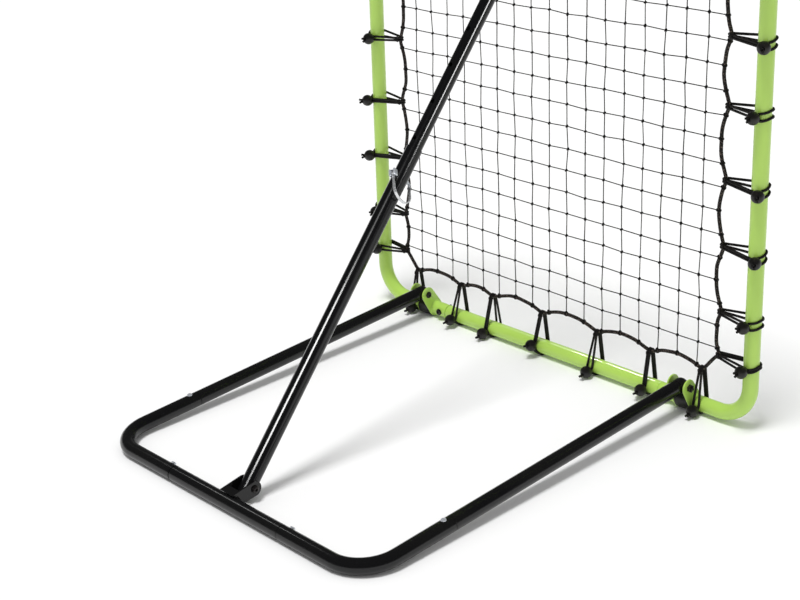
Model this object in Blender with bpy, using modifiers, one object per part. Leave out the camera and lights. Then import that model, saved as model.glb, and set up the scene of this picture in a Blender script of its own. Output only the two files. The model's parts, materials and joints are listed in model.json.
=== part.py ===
"""A multisport rebounder, in metres, +Z up, the playing side towards -Y.

A square tubular frame carries a knotted net on ball ties. It hinges on the two
legs of a U-shaped base, and a telescopic strut with a lock pin holds its angle.
Origin: on the floor, under the middle of the object's box.
"""

import math

import bmesh
import bpy
from mathutils import Matrix, Vector

# Net frame
FRAME_SPAN = 0.971
FRAME_TUBE_R = 0.0135
FRAME_BEND_R = 0.065
FRAME_LEAN = math.radians(1.7)
FRAME_AXIS_Y = -0.3856
FRAME_AXIS_Z = 0.0191
TUBE_WALL = 0.0015
PLUG_R = 0.0115
PLUG_LENGTH = 0.038
SHOULDER = 0.0015
TUBE_SIDES = 12
BEND_STEPS = 5
FRAME_SEAM_X = 0.287
FRAME_BOLT_X = 0.303

# Base
BASE_TUBE_R = 0.014
BASE_PLUG_R = 0.0119
BASE_BEND_R = 0.072
LEG_X = 0.347
REAR_BAR_Y = 0.4227
REAR_BAR_Z = 0.0141
BASE_SEAM_X = 0.151
BASE_SCREW_X = 0.166
CORNER_ARM = 0.1926
LEG_SCREW_ARM = 0.1776

# Hinge between the frame and the base
HINGE_RISE = 0.0354
HINGE_SETBACK = 0.0212
HINGE_LOBE_R = 0.0162
TUBE_LOBE_R = 0.0182
PLATE_THICKNESS = 0.003
PLATE_X = 0.0182
CAP_R = 0.0142
CAP_BARREL = 0.012
CAP_PLUG_R = 0.0121
CAP_PLUG_LENGTH = 0.022

# Strut
STRUT_RISE = math.radians(49.55)
STRUT_FOOT_SETBACK = 0.0482
STRUT_FOOT_Z = 0.0253
STRUT_LOWER_R = 0.0148
STRUT_UPPER_R = 0.0130
STRUT_WALL = 0.0012
STRUT_SIDES = 16
STRUT_LOWER_END = -0.0150
STRUT_RIM = 0.6527
STRUT_UPPER_START = 0.512
STRUT_LENGTH = 1.2134
STRUT_END_LIP = 0.017
HOLE_PITCH = 0.0735
HOLE_COUNT = 5
PIN_HEIGHT = 0.5942
PIN_R = 0.004
PIN_HEAD = 0.0206
BAIL_LEAN = math.radians(37)

# Net, rope and ties
ROPE_INSET = 0.069
ROPE_R = 0.0035
ROPE_BOW = 0.12
NET_COLUMNS = 16
NET_ROWS = 15
STRING_R = 0.0011
TIE_CORD_R = 0.0020
TIE_WRAP_R = 0.0166
TIE_BALL_R = 0.0100
# Each tie: its place along its tube, how far its ball has turned to the rear, in degrees
# from the inner side of the tube, and how far it has slipped along the tube
BOTTOM_TIES = (
    (-0.379, 109, 0),
    (-0.258, 95, 0.001),
    (-0.127, 109, 0.006),
    (0.018, 72, 0.008),
    (0.156, 109, 0.007),
    (0.248, 95, 0.009),
    (0.379, 109, 0),
)
TOP_TIES = (
    (-0.379, 120, 0),
    (-0.255, 105, 0.004),
    (-0.135, 118, 0.006),
    (0.050, 110, -0.003),
    (0.148, 114, 0.002),
    (0.252, 100, 0.005),
    (0.379, 120, 0),
)
SIDE_TIES = (
    (0.109, 84, -0.006),
    (0.193, 84, -0.005),
    (0.318, 122, -0.007),
    (0.439, 122, -0.007),
    (0.572, 86, -0.005),
    (0.694, 118, -0.006),
    (0.796, 100, -0.004),
    (0.862, 120, -0.006),
)

# Fasteners
BOLT_R = 0.004
HOLE_R = 0.0044
HEAD_R = 0.007
HEAD_HEIGHT = 0.0042
NUT_ACROSS_FLATS = 0.013
NUT_HEIGHT = 0.006
SEAT_GAP = 0.0003
FASTENER_STEPS = 8

MERGE = 0.00001
FRONT = Vector((0, -1, 0))
REAR = Vector((0, 1, 0))
UP = Vector((0, 0, 1))
LEFT = Vector((1, 0, 0))

LEG_SLOPE = math.atan2(
    FRAME_AXIS_Z + HINGE_RISE - REAR_BAR_Z, REAR_BAR_Y - FRAME_AXIS_Y - HINGE_SETBACK
)
HINGE = Vector((0, FRAME_AXIS_Y + HINGE_SETBACK, FRAME_AXIS_Z + HINGE_RISE))
STRUT_FOOT = Vector((0, REAR_BAR_Y - STRUT_FOOT_SETBACK, STRUT_FOOT_Z))


def clear_scene():
    for obj in list(bpy.data.objects):
        bpy.data.objects.remove(obj)


def new_collection(name):
    collection = bpy.data.collections.new(name)
    bpy.context.scene.collection.children.link(collection)
    return collection


def new_material(name, colour, roughness, metallic=0.0):
    material = bpy.data.materials.new(name)
    material.use_nodes = True
    shader = material.node_tree.nodes["Principled BSDF"]
    shader.inputs["Base Color"].default_value = (*colour, 1)
    shader.inputs["Roughness"].default_value = roughness
    shader.inputs["Metallic"].default_value = metallic
    return material


# Building blocks

def new_axis(name, location, turn_x=0.0, parent=None):
    """An empty whose X axis is a hinge's axis, or whose Z axis a piece slides along."""
    axis = bpy.data.objects.new(name, None)
    axis.location = location
    axis.rotation_euler.x = turn_x
    axis.parent = parent
    parts.objects.link(axis)
    return axis


def weld(mesh):
    """Merges loose caps and turns every face outwards."""
    bm = bmesh.new()
    bm.from_mesh(mesh)
    bmesh.ops.remove_doubles(bm, verts=bm.verts, dist=MERGE)
    bmesh.ops.recalc_face_normals(bm, faces=bm.faces)
    bm.to_mesh(mesh)
    bm.free()
    return mesh


def mesh_of_curve(curve):
    guide = bpy.data.objects.new(curve.name, curve)
    bpy.context.scene.collection.objects.link(guide)
    graph = bpy.context.evaluated_depsgraph_get()
    mesh = bpy.data.meshes.new_from_object(guide.evaluated_get(graph))
    mesh.name = curve.name
    bpy.data.objects.remove(guide)
    bpy.data.curves.remove(curve)
    return weld(mesh)


def swept(name, points, radius, sides=TUBE_SIDES, factors=None, closed=False, capped=True):
    """A round tube along the points. A factor scales the radius at its point."""
    curve = bpy.data.curves.new(name, "CURVE")
    curve.dimensions = "3D"
    curve.bevel_depth = radius
    curve.bevel_resolution = (sides - 4) // 2
    curve.use_fill_caps = capped
    spline = curve.splines.new("POLY")
    spline.points.add(len(points) - 1)
    spline.use_cyclic_u = closed
    for point, place, factor in zip(spline.points, points, factors or [1] * len(points)):
        point.co = (*place, 1)
        point.radius = factor
    return mesh_of_curve(curve)


def flat(name, outlines, thickness):
    """A plate in the XY plane from a closed outline and those of its holes."""
    curve = bpy.data.curves.new(name, "CURVE")
    curve.dimensions = "2D"
    curve.fill_mode = "BOTH"
    curve.extrude = thickness / 2
    for outline in outlines:
        spline = curve.splines.new("POLY")
        spline.points.add(len(outline) - 1)
        spline.use_cyclic_u = True
        for point, place in zip(spline.points, outline):
            point.co = (place[0], place[1], 0, 1)
    return mesh_of_curve(curve)


def profile_mesh(name, profile):
    """The edge that a Screw modifier turns: (radius, height) from its top down."""
    mesh = bpy.data.meshes.new(name)
    edges = [(i, i + 1) for i in range(len(profile) - 1)]
    mesh.from_pydata([(radius, 0, height) for radius, height in profile], edges, [])
    return mesh


def add_screw(obj, steps):
    turn = obj.modifiers.new("turn", "SCREW")
    turn.steps = turn.render_steps = steps
    turn.use_merge_vertices = True
    turn.merge_threshold = MERGE


def add_piece(name, mesh, material, parent=None, location=(0, 0, 0), rotation=(0, 0, 0)):
    obj = bpy.data.objects.new(name, mesh)
    obj.location = location
    obj.rotation_euler = rotation
    obj.parent = parent
    mesh.materials.append(material)
    mesh.shade_smooth()
    mesh.set_sharp_from_angle(angle=math.radians(35))
    parts.objects.link(obj)
    return obj


def add_wall(obj, thickness):
    """Makes an open tube's skin into a wall of this thickness, inwards."""
    wall = obj.modifiers.new("wall", "SOLIDIFY")
    wall.thickness = thickness
    wall.offset = -1
    wall.use_even_offset = True


def add_cutter(name, mesh, parent=None, location=(0, 0, 0), rotation=(0, 0, 0)):
    obj = bpy.data.objects.new(name, mesh)
    obj.location = location
    obj.rotation_euler = rotation
    obj.parent = parent
    obj.hide_render = True
    obj.display_type = "WIRE"
    cutters.objects.link(obj)
    return obj


def combine(obj, other, operation="DIFFERENCE"):
    boolean = obj.modifiers.new(other.name, "BOOLEAN")
    boolean.operation = operation
    boolean.object = other


def drill(name, targets, start, end, radius, parent=None, sides=8):
    """Cuts one round hole from start to end through every target."""
    cutter = add_cutter(name, swept(name, [start, end], radius, sides), parent)
    for target in targets:
        combine(target, cutter)


def ring(centre, radius, start=0.0, end=math.tau, count=24, closed=True):
    """Points on an arc, in the plane of a flat outline."""
    steps = count if closed else count - 1
    angles = [start + (end - start) * i / steps for i in range(count)]
    return [
        (centre[0] + radius * math.cos(a), centre[1] + radius * math.sin(a)) for a in angles
    ]


def round_hull(centre_a, radius_a, centre_b, radius_b, count=10):
    """The outline of a strap round two circles."""
    across = Vector(centre_b) - Vector(centre_a)
    heading = math.atan2(across.y, across.x)
    spread = math.acos((radius_a - radius_b) / across.length)
    far = ring(centre_b, radius_b, heading - spread, heading + spread, count, False)
    near = ring(
        centre_a, radius_a, heading + spread, heading + math.tau - spread, count, False
    )
    return far + near


# Fasteners, with the head on +Z and the seat at z = 0

def bolt_mesh(name, length):
    socket_r, socket_depth, crown_r, edge = 0.0025, 0.002, 0.0045, 0.0012
    profile = [
        (0, HEAD_HEIGHT - socket_depth),
        (socket_r, HEAD_HEIGHT - socket_depth),
        (socket_r, HEAD_HEIGHT),
        (crown_r, HEAD_HEIGHT),
        (HEAD_R, edge),
        (HEAD_R, 0),
        (BOLT_R, 0),
        (BOLT_R, -length),
        (0, -length),
    ]
    return profile_mesh(name, profile)


def nut_mesh(name):
    corner = NUT_ACROSS_FLATS / math.sqrt(3)
    hexagon = ring((0, 0), corner, count=6)
    return flat(name, [hexagon, ring((0, 0), HOLE_R, count=8)], NUT_HEIGHT)


def add_bolt_and_nut(name, parent, seat, direction, grip):
    """A button-head bolt along direction, out of its head, with a nut on its end."""
    turn = direction.to_track_quat("Z", "Y").to_euler()
    length = grip + NUT_HEIGHT + 0.003
    bolt = add_piece(
        f"{name}_bolt",
        bolt_mesh(f"{name}_bolt", length),
        black_metal,
        parent,
        seat + direction * SEAT_GAP,
        turn,
    )
    add_screw(bolt, FASTENER_STEPS)
    add_piece(
        f"{name}_nut",
        nut_mesh(f"{name}_nut"),
        black_metal,
        parent,
        seat - direction * (grip + SEAT_GAP + NUT_HEIGHT / 2),
        turn,
    )


# Base

def corner_path(side, arm_x, arm_y, leg):
    """Along the rear bar, round the bend and up the leg's line."""
    corner = Vector((side * LEG_X, REAR_BAR_Y, REAR_BAR_Z))
    inward = LEFT * -side
    points = [corner + inward * arm_x]
    for i in range(BEND_STEPS + 1):
        angle = math.pi / 2 * i / BEND_STEPS
        points.append(
            corner
            + inward * BASE_BEND_R * (1 - math.sin(angle))
            + leg * BASE_BEND_R * (1 - math.cos(angle))
        )
    points.append(corner + leg * arm_y)
    return points


def add_plugged_tube(name, start, end, radius, plug_r, wall, material, plugs, parent=None):
    """A straight tube whose named ends are drawn down to plug into its neighbour."""
    along = (end - start).normalized()
    points, factors = [start, end], [1, 1]
    if "start" in plugs:
        points = [start - along * PLUG_LENGTH, start, start + along * SHOULDER] + points[1:]
        factors = [plug_r / radius] * 2 + factors
    if "end" in plugs:
        points = points[:-1] + [end - along * SHOULDER, end, end + along * PLUG_LENGTH]
        factors = factors + [plug_r / radius] * 2
    mesh = swept(name, points, radius, factors=factors, capped=False)
    tube = add_piece(name, mesh, material, parent)
    add_wall(tube, wall)
    return tube


def add_screw_fastener(name, targets, place, outward):
    """A small pan-head screw that holds a plug in its socket."""
    head_r, head_height, shank_r, shank = 0.0042, 0.0022, 0.0018, 0.006
    profile = [
        (0, head_height),
        (head_r * 0.7, head_height),
        (head_r, head_height * 0.4),
        (head_r, 0),
        (shank_r, 0),
        (shank_r, -shank),
        (0, -shank),
    ]
    drill(f"{name}_hole", targets, place - outward * shank * 1.4, place + outward * shank, 0.0023)
    screw = add_piece(
        name,
        profile_mesh(name, profile),
        bright_metal,
        None,
        place + outward * SEAT_GAP,
        outward.to_track_quat("Z", "Y").to_euler(),
    )
    add_screw(screw, FASTENER_STEPS)


def add_base():
    leg = Vector((0, -math.cos(LEG_SLOPE), math.sin(LEG_SLOPE)))
    leg_top = Vector((0, math.sin(LEG_SLOPE), math.cos(LEG_SLOPE)))
    bar_start = Vector((-BASE_SEAM_X, REAR_BAR_Y, REAR_BAR_Z))
    bar_end = Vector((BASE_SEAM_X, REAR_BAR_Y, REAR_BAR_Z))
    rear = add_plugged_tube(
        "base_rear_tube", bar_start, bar_end, BASE_TUBE_R, BASE_PLUG_R, TUBE_WALL,
        black_paint, ("start", "end"),
    )
    for side, word in ((1, "left"), (-1, "right")):
        path = corner_path(side, LEG_X - BASE_SEAM_X - SEAT_GAP, CORNER_ARM, leg)
        name = f"base_corner_{word}"
        corner = add_piece(name, swept(name, path, BASE_TUBE_R, capped=False), black_paint)
        add_wall(corner, TUBE_WALL)
        foot = Vector((side * LEG_X, REAR_BAR_Y, REAR_BAR_Z))
        pivot = Vector((side * LEG_X, HINGE.y, HINGE.z))
        tube = add_plugged_tube(
            f"base_leg_{word}", foot + leg * (CORNER_ARM + SEAT_GAP), pivot - leg * CAP_BARREL,
            BASE_TUBE_R, BASE_PLUG_R, TUBE_WALL, black_paint, ("start",),
        )
        add_leg_cap(word, pivot, leg)
        slant = (FRONT + UP).normalized()
        bar_place = Vector((side * BASE_SCREW_X, REAR_BAR_Y, REAR_BAR_Z))
        add_screw_fastener(
            f"rear_joint_screw_{word}", [corner, rear], bar_place + slant * BASE_TUBE_R, slant
        )
        add_screw_fastener(
            f"leg_joint_screw_{word}", [corner, tube],
            foot + leg * LEG_SCREW_ARM + leg_top * BASE_TUBE_R, leg_top,
        )


def add_leg_cap(word, pivot, leg):
    """A plastic end with a domed nose round the hinge bolt, pressed into the leg."""
    dome = [
        (CAP_R * math.cos(a), CAP_R * math.sin(a))
        for a in (math.pi / 2 * (1 - i / 5) for i in range(6))
    ]
    profile = dome + [
        (CAP_R, SEAT_GAP - CAP_BARREL),
        (CAP_PLUG_R, SEAT_GAP - CAP_BARREL),
        (CAP_PLUG_R, -CAP_BARREL - CAP_PLUG_LENGTH),
        (0, -CAP_BARREL - CAP_PLUG_LENGTH),
    ]
    name = f"leg_cap_{word}"
    cap = add_piece(
        name, profile_mesh(name, profile), black_plastic, None, pivot,
        leg.to_track_quat("Z", "Y").to_euler(),
    )
    add_screw(cap, TUBE_SIDES)
    reach = LEFT * CAP_R * 1.5
    drill(f"{name}_hole", [cap], pivot - reach, pivot + reach, HOLE_R)


def add_strut_foot():
    """A folded bracket that straddles the strut's foot and saddles the rear bar."""
    saddle_r, sheet, ear_gap, ear_r = 0.0143, 0.003, 0.0152, 0.0138
    bar = (REAR_BAR_Y, REAR_BAR_Z)
    pivot = (STRUT_FOOT.y, STRUT_FOOT.z)
    root_r = saddle_r + sheet
    over = ring(bar, root_r, math.radians(200), math.radians(95), 8, False)
    nose = ring(pivot, ear_r, math.radians(75), math.radians(258), 10, False)
    width = 2 * (ear_gap + sheet)
    turn = (math.pi / 2, 0, math.pi / 2)
    bracket = add_piece(
        "strut_foot_bracket", flat("strut_foot_bracket", [nose + over], width), black_paint,
        None, (0, 0, 0), turn,
    )
    reach = LEFT * width
    bar_axis = Vector((0, REAR_BAR_Y, REAR_BAR_Z))
    drill("saddle", [bracket], bar_axis - reach, bar_axis + reach, saddle_r, sides=24)
    drill("foot_hole", [bracket], STRUT_FOOT - reach, STRUT_FOOT + reach, HOLE_R)
    slot_mesh = flat("foot_slot", [ring(pivot, 0.032, count=20)], 2 * ear_gap)
    slot = add_cutter("foot_slot", slot_mesh, None, (0, 0, 0), turn)
    web_mesh = swept("foot_web", [bar_axis - reach, bar_axis + reach], root_r, 24)
    combine(slot, add_cutter("foot_web", web_mesh))
    combine(bracket, slot)
    add_bolt_and_nut("strut_foot", None, STRUT_FOOT - LEFT * width / 2, -LEFT, width)


# Net frame, in its own plane: X across, Z up the frame, origin on the bottom tube's axis

def add_frame_side(side, word, parent):
    """A tube bent to a C: one side of the frame with both of its corners."""
    x = side * FRAME_SPAN / 2
    seam = side * (FRAME_SEAM_X + SEAT_GAP)
    bend = []
    for i in range(BEND_STEPS + 1):
        angle = math.pi / 2 * i / BEND_STEPS
        bend.append(
            Vector(
                (
                    x - side * FRAME_BEND_R * (1 - math.sin(angle)),
                    0,
                    FRAME_BEND_R * (1 - math.cos(angle)),
                )
            )
        )
    lower = [Vector((seam, 0, 0))] + bend
    upper = [Vector((p.x, 0, FRAME_SPAN - p.z)) for p in reversed(lower)]
    name = f"frame_side_{word}"
    tube = add_piece(
        name, swept(name, lower + upper, FRAME_TUBE_R, capped=False), green_paint, parent
    )
    add_wall(tube, TUBE_WALL)
    return tube


def add_net_frame(parent):
    sides = {
        word: add_frame_side(side, word, parent) for side, word in ((1, "left"), (-1, "right"))
    }
    for height, level in ((0, "bottom"), (FRAME_SPAN, "top")):
        start = Vector((-FRAME_SEAM_X, 0, height))
        end = Vector((FRAME_SEAM_X, 0, height))
        tube = add_plugged_tube(
            f"frame_{level}_tube", start, end, FRAME_TUBE_R, PLUG_R, TUBE_WALL, green_paint,
            ("start", "end"), parent,
        )
        for side, word in ((1, "left"), (-1, "right")):
            name = f"frame_{level}_{word}"
            place = Vector((side * FRAME_BOLT_X, 0, height))
            reach = REAR * FRAME_TUBE_R * 1.5
            targets = [tube, sides[word]]
            drill(f"{name}_hole", targets, place - reach, place + reach, HOLE_R, parent)
            seat = place + REAR * FRAME_TUBE_R
            add_bolt_and_nut(name, parent, seat, REAR, 2 * FRAME_TUBE_R)


def add_plate(name, parent, x, pivot, tube_height):
    """A teardrop plate: one lobe round the tube, one round the pivot bolt."""
    tube_centre = (0, tube_height)
    outline = round_hull(tube_centre, TUBE_LOBE_R, pivot, HINGE_LOBE_R)
    tube_hole = ring(tube_centre, FRAME_TUBE_R + SEAT_GAP, count=16)
    pivot_hole = ring(pivot, HOLE_R, count=8)
    add_piece(
        name, flat(name, [outline, tube_hole, pivot_hole], PLATE_THICKNESS), green_paint,
        parent, (x, 0, 0), (math.pi / 2, 0, math.pi / 2),
    )


def add_hinge_brackets(parent, pivot):
    """Two plates a leg, with the sleeve that the frame stands on between them."""
    for side, word in ((1, "left"), (-1, "right")):
        for offset, place in ((-PLATE_X, "inner"), (PLATE_X, "outer")):
            add_plate(f"hinge_plate_{word}_{place}", parent, side * (LEG_X + offset), pivot, 0)
        half = PLATE_X - PLATE_THICKNESS / 2 - SEAT_GAP
        heel = math.radians(17)
        start, end = heel - math.pi / 2 - FRAME_LEAN, math.pi * 1.5 - heel - FRAME_LEAN
        outline = ring((0, 0), FRAME_AXIS_Z, start, end, 18, False)
        outline += ring((0, 0), FRAME_AXIS_Z / math.cos(heel), end, end + 2 * heel, 2, False)
        name = f"foot_sleeve_{word}"
        mesh = flat(
            name, [outline, ring((0, 0), FRAME_TUBE_R + SEAT_GAP, count=16)], 2 * half
        )
        add_piece(
            name, mesh, black_plastic, parent, (side * LEG_X, 0, 0), (math.pi / 2, 0, math.pi / 2)
        )
        grip = 2 * PLATE_X + PLATE_THICKNESS
        seat = Vector((side * (LEG_X - grip / 2), pivot[0], pivot[1]))
        add_bolt_and_nut(f"hinge_{word}", parent, seat, LEFT * -side, grip)


def add_top_bracket(parent, pivot):
    plate_x = STRUT_UPPER_R + 0.001 + PLATE_THICKNESS / 2
    for side, word in ((1, "left"), (-1, "right")):
        add_plate(f"top_plate_{word}", parent, side * plate_x, pivot, FRAME_SPAN)
    grip = 2 * plate_x + PLATE_THICKNESS
    seat = Vector((-grip / 2, pivot[0], pivot[1]))
    add_bolt_and_nut("strut_top", parent, seat, -LEFT, grip)


# Net, border rope and ties

def tie_places():
    """Each tie as (tube point, way to the rope, ball's turn to the rear, ball's slip)."""
    half = FRAME_SPAN / 2
    places = [(Vector((x, 0, 0)), UP, turn, LEFT * slip) for x, turn, slip in BOTTOM_TIES]
    places += [(Vector((half, 0, s)), -LEFT, turn, UP * slip) for s, turn, slip in SIDE_TIES]
    places += [
        (Vector((x, 0, FRAME_SPAN)), -UP, turn, LEFT * slip)
        for x, turn, slip in reversed(TOP_TIES)
    ]
    places += [
        (Vector((-half, 0, s)), LEFT, turn, UP * slip) for s, turn, slip in reversed(SIDE_TIES)
    ]
    return places


def rope_path():
    """The border rope: pulled out at each tie, bowed in between, cut off straight at corners."""
    places = tie_places()
    points = []
    for place, next_place in zip(places, places[1:] + places[:1]):
        (tube, inward), (next_tube, next_inward) = place[:2], next_place[:2]
        start = tube + inward * ROPE_INSET
        end = next_tube + next_inward * ROPE_INSET
        same_side = inward == next_inward
        bow = ROPE_BOW * (end - start).length if same_side else 0
        steps = 3 if same_side else 1
        for i in range(steps):
            share = i / steps
            points.append(start.lerp(end, share) + inward * bow * math.sin(math.pi * share))
    return points


def add_tie(index, tube, inward, ball_turn, slip, parent):
    """A loop of cord from the rope round the tube, held by a ball, to join to the rope."""
    spread = math.acos(TIE_WRAP_R / ROPE_INSET)
    steps = 6
    turned = math.radians(ball_turn)

    def at(angle, radius):
        """A point round the tube, drawn along it towards the ball."""
        drawn = slip * max(0, math.cos(angle - turned))
        return (
            tube + inward * radius * math.cos(angle) + REAR * radius * math.sin(angle) + drawn
        )

    points = [tube + inward * (ROPE_INSET - 0.001)]
    for i in range(steps + 1):
        angle = spread + (math.tau - 2 * spread) * i / steps
        points.append(at(angle, TIE_WRAP_R))
    name = f"tie_{index:02d}"
    loop = add_cutter(name, swept(name, points, TIE_CORD_R, 4, closed=True), parent)
    bm = bmesh.new()
    bmesh.ops.create_uvsphere(bm, u_segments=8, v_segments=5, radius=TIE_BALL_R)
    ball_mesh = bpy.data.meshes.new(f"{name}_ball")
    bm.to_mesh(ball_mesh)
    bm.free()
    distance = FRAME_TUBE_R + TIE_BALL_R + 2 * SEAT_GAP
    ball = add_cutter(f"{name}_ball", ball_mesh, parent, at(turned, distance))
    return loop, ball


def add_rope(parent):
    rope = add_piece(
        "border_rope", swept("border_rope", rope_path(), ROPE_R, 6, closed=True), black_cord,
        parent,
    )
    ties = new_collection("ties")
    for index, place in enumerate(tie_places()):
        for obj in add_tie(index, *place, parent):
            cutters.objects.unlink(obj)
            ties.objects.link(obj)
    ties.hide_render = True
    boolean = rope.modifiers.new("ties", "BOOLEAN")
    boolean.operation = "UNION"
    boolean.operand_type = "COLLECTION"
    boolean.collection = ties


def rope_edge(position, ties, other_ties_inset):
    """How far the rope bows in at a position along one side of the frame."""
    ties = [tie[0] for tie in ties]
    for start, end in zip(ties, ties[1:]):
        if start <= position <= end:
            share = (position - start) / (end - start)
            return ROPE_BOW * (end - start) * math.sin(math.pi * share)
    beyond = min(abs(position - ties[0]), abs(position - ties[-1]))
    return beyond * other_ties_inset


def net_corner(u, v):
    """A net crossing for u and v from -1 to 1, where 1 lies along the border rope."""
    half = FRAME_SPAN / 2
    reach = half - ROPE_INSET - ROPE_R - 2 * STRING_R - 0.0016
    x, z = u * reach, half + v * reach
    if abs(u) == 1:
        x -= math.copysign(rope_edge(z, SIDE_TIES, 0.75), u)
    if abs(v) == 1:
        z -= math.copysign(rope_edge(x, BOTTOM_TIES if v < 0 else TOP_TIES, 0.75), v)
    return Vector((x, 0, z))


def add_net(parent):
    """A lattice of diamond-section strings, made from an inset grid and its mirror image."""
    bm = bmesh.new()
    bmesh.ops.create_grid(bm, x_segments=NET_COLUMNS, y_segments=NET_ROWS, size=1)
    for vert in bm.verts:
        vert.co = net_corner(round(vert.co.x, 6), round(vert.co.y, 6))
    bm.normal_update()
    gaps = list(bm.faces)
    bmesh.ops.inset_individual(bm, faces=gaps, thickness=STRING_R, use_even_offset=True)
    edges_of_gaps = {vert for gap in gaps for vert in gap.verts}
    bmesh.ops.delete(bm, geom=gaps, context="FACES")
    for vert in bm.verts:
        if vert not in edges_of_gaps:
            vert.co.y = STRING_R
    copy = bmesh.ops.duplicate(bm, geom=bm.verts[:] + bm.edges[:] + bm.faces[:])
    for item in copy["geom"]:
        if isinstance(item, bmesh.types.BMVert):
            item.co.y = -item.co.y
    bmesh.ops.remove_doubles(bm, verts=bm.verts, dist=MERGE)
    rim = [edge for edge in bm.edges if edge.is_boundary]
    bmesh.ops.bridge_loops(bm, edges=rim)
    bmesh.ops.recalc_face_normals(bm, faces=bm.faces)
    mesh = bpy.data.meshes.new("net")
    bm.to_mesh(mesh)
    bm.free()
    add_piece("net", mesh, black_cord, parent)


# Strut: Z along it from the foot pivot, Y square to it, up and to the rear

def add_strut(foot_axis, slide_axis):
    lower_path = [Vector((0, 0, STRUT_LOWER_END)), Vector((0, 0, STRUT_RIM))]
    name = "strut_lower_tube"
    lower = add_piece(
        name, swept(name, lower_path, STRUT_LOWER_R, STRUT_SIDES, capped=False),
        black_gloss, foot_axis,
    )
    add_wall(lower, STRUT_WALL)
    reach = LEFT * STRUT_LOWER_R * 1.5
    drill("lower_foot_hole", [lower], -reach, reach, HOLE_R, foot_axis)
    upper_path = [
        Vector((0, 0, STRUT_UPPER_START)),
        Vector((0, 0, STRUT_LENGTH + STRUT_END_LIP)),
    ]
    name = "strut_upper_tube"
    upper = add_piece(
        name, swept(name, upper_path, STRUT_UPPER_R, STRUT_SIDES, capped=False),
        black_gloss, slide_axis,
    )
    add_wall(upper, STRUT_WALL)
    for index in range(HOLE_COUNT):
        height = UP * (PIN_HEIGHT + index * HOLE_PITCH)
        targets = [upper, lower] if index == 0 else [upper]
        drill(
            f"pin_hole_{index}", targets, height + FRONT * 0.02, height + REAR * 0.02,
            PIN_R + 0.0005, slide_axis,
        )
    # The bolt wanders in this slot, because the strut's ratios to the frame are constant
    slot_r, slot_half, slot_centre = BOLT_R + 0.0036, 0.0053, STRUT_LENGTH + 0.0002
    outline = round_hull(
        (0, slot_centre - slot_half), slot_r, (0, slot_centre + slot_half), slot_r, 8
    )
    slot = add_cutter(
        "top_slot", flat("top_slot", [outline], 0.04), slide_axis, (0, 0, 0),
        (math.pi / 2, 0, math.pi / 2),
    )
    combine(upper, slot)


def add_lock_pin(pin_axis, bail_axis, head_centre, lean):
    """A forked square head, a shank, and a spring bail from the head to the pin's nose."""
    head_size, head_height, fork_gap, fork_floor = 0.0135, 0.010, 0.0066, 0.0034
    rivet_r, nose_r = 0.0012, 0.0017
    inner = STRUT_UPPER_R + 0.0005
    shoulder, tip = -0.0205, -0.0300
    bm = bmesh.new()
    bmesh.ops.create_cube(bm, size=1)
    bmesh.ops.scale(bm, vec=(head_size, head_height, head_size), verts=bm.verts)
    mesh = bpy.data.meshes.new("lock_pin")
    bm.to_mesh(mesh)
    bm.free()
    head = add_piece("lock_pin", mesh, bright_metal, pin_axis, (0, head_centre, 0), (0, lean, 0))
    edge = head.modifiers.new("edge", "BEVEL")
    edge.width = 0.0012
    edge.segments = 2
    across = (0, math.pi / 2, 0)
    fork = [(-0.02, -fork_floor), (0.02, -fork_floor), (0.02, 0.02), (-0.02, 0.02)]
    combine(head, add_cutter("fork", flat("fork", [fork], fork_gap), head, (0, 0, 0), across))
    stub = [Vector((0, inner - head_centre, 0)), Vector((0, -head_height / 2 + 0.0008, 0))]
    combine(head, add_cutter("upper_stub", swept("upper_stub", stub, PIN_R, 12), head), "UNION")
    reach = LEFT * head_size
    drill("rivet_hole", [head], -reach, reach, rivet_r + 0.0003, head, 8)
    steps = [-inner, shoulder, shoulder - 0.0015, tip]
    nose = nose_r / PIN_R
    add_piece(
        "lock_pin_tip",
        swept("lock_pin_tip", [REAR * y for y in steps], PIN_R, 12, [1, 1, nose, nose]),
        bright_metal, pin_axis,
    )
    reach = LEFT * (head_size / 2 + 0.0005)
    add_piece(
        "bail_rivet", swept("bail_rivet", [-reach, reach], rivet_r, 8), bright_metal, bail_axis
    )
    add_bail(bail_axis, head_centre - (tip + 0.004), rivet_r, nose_r)


def add_bail(bail_axis, mouth, rivet_r, nose_r):
    """A flat spring bent to a U, with an eye on the rivet and a fork astride the pin's nose."""
    strip, width, drop, eye_r, end = 0.0014, 0.006, 0.030, 0.0028, -0.003
    bend = (drop, -mouth / 2)
    across = (0, math.pi / 2, 0)
    outline = [(0.002, strip / 2)]
    outline += ring(bend, (mouth + strip) / 2, math.pi / 2, -math.pi / 2, 9, False)
    outline += [(end, -mouth - strip / 2), (end, -mouth + strip / 2)]
    outline += ring(bend, (mouth - strip) / 2, -math.pi / 2, math.pi / 2, 9, False)
    outline += [(0.002, -strip / 2)]
    name = "lock_pin_bail"
    bail = add_piece(
        name, flat(name, [outline], width), spring_steel, bail_axis, (0, 0, 0), across
    )
    eye = flat("bail_eye", [ring((0, 0), eye_r, count=14)], width)
    combine(bail, add_cutter("bail_eye", eye, bail_axis, (0, 0, 0), across), "UNION")
    reach = LEFT * width
    drill("bail_eye_hole", [bail], -reach, reach, rivet_r + 0.0003, bail_axis, 8)
    notch_r = nose_r + 0.0004
    notch = flat("nose_notch", [round_hull((0, 0), notch_r, (0, 0.006), notch_r, 7)], 0.02)
    combine(
        bail, add_cutter("nose_notch", notch, bail_axis, (0, -mouth, 0), (math.pi / 2, 0, 0))
    )


# Assembly

clear_scene()
parts = new_collection("rebounder")
cutters = new_collection("cutters")

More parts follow.
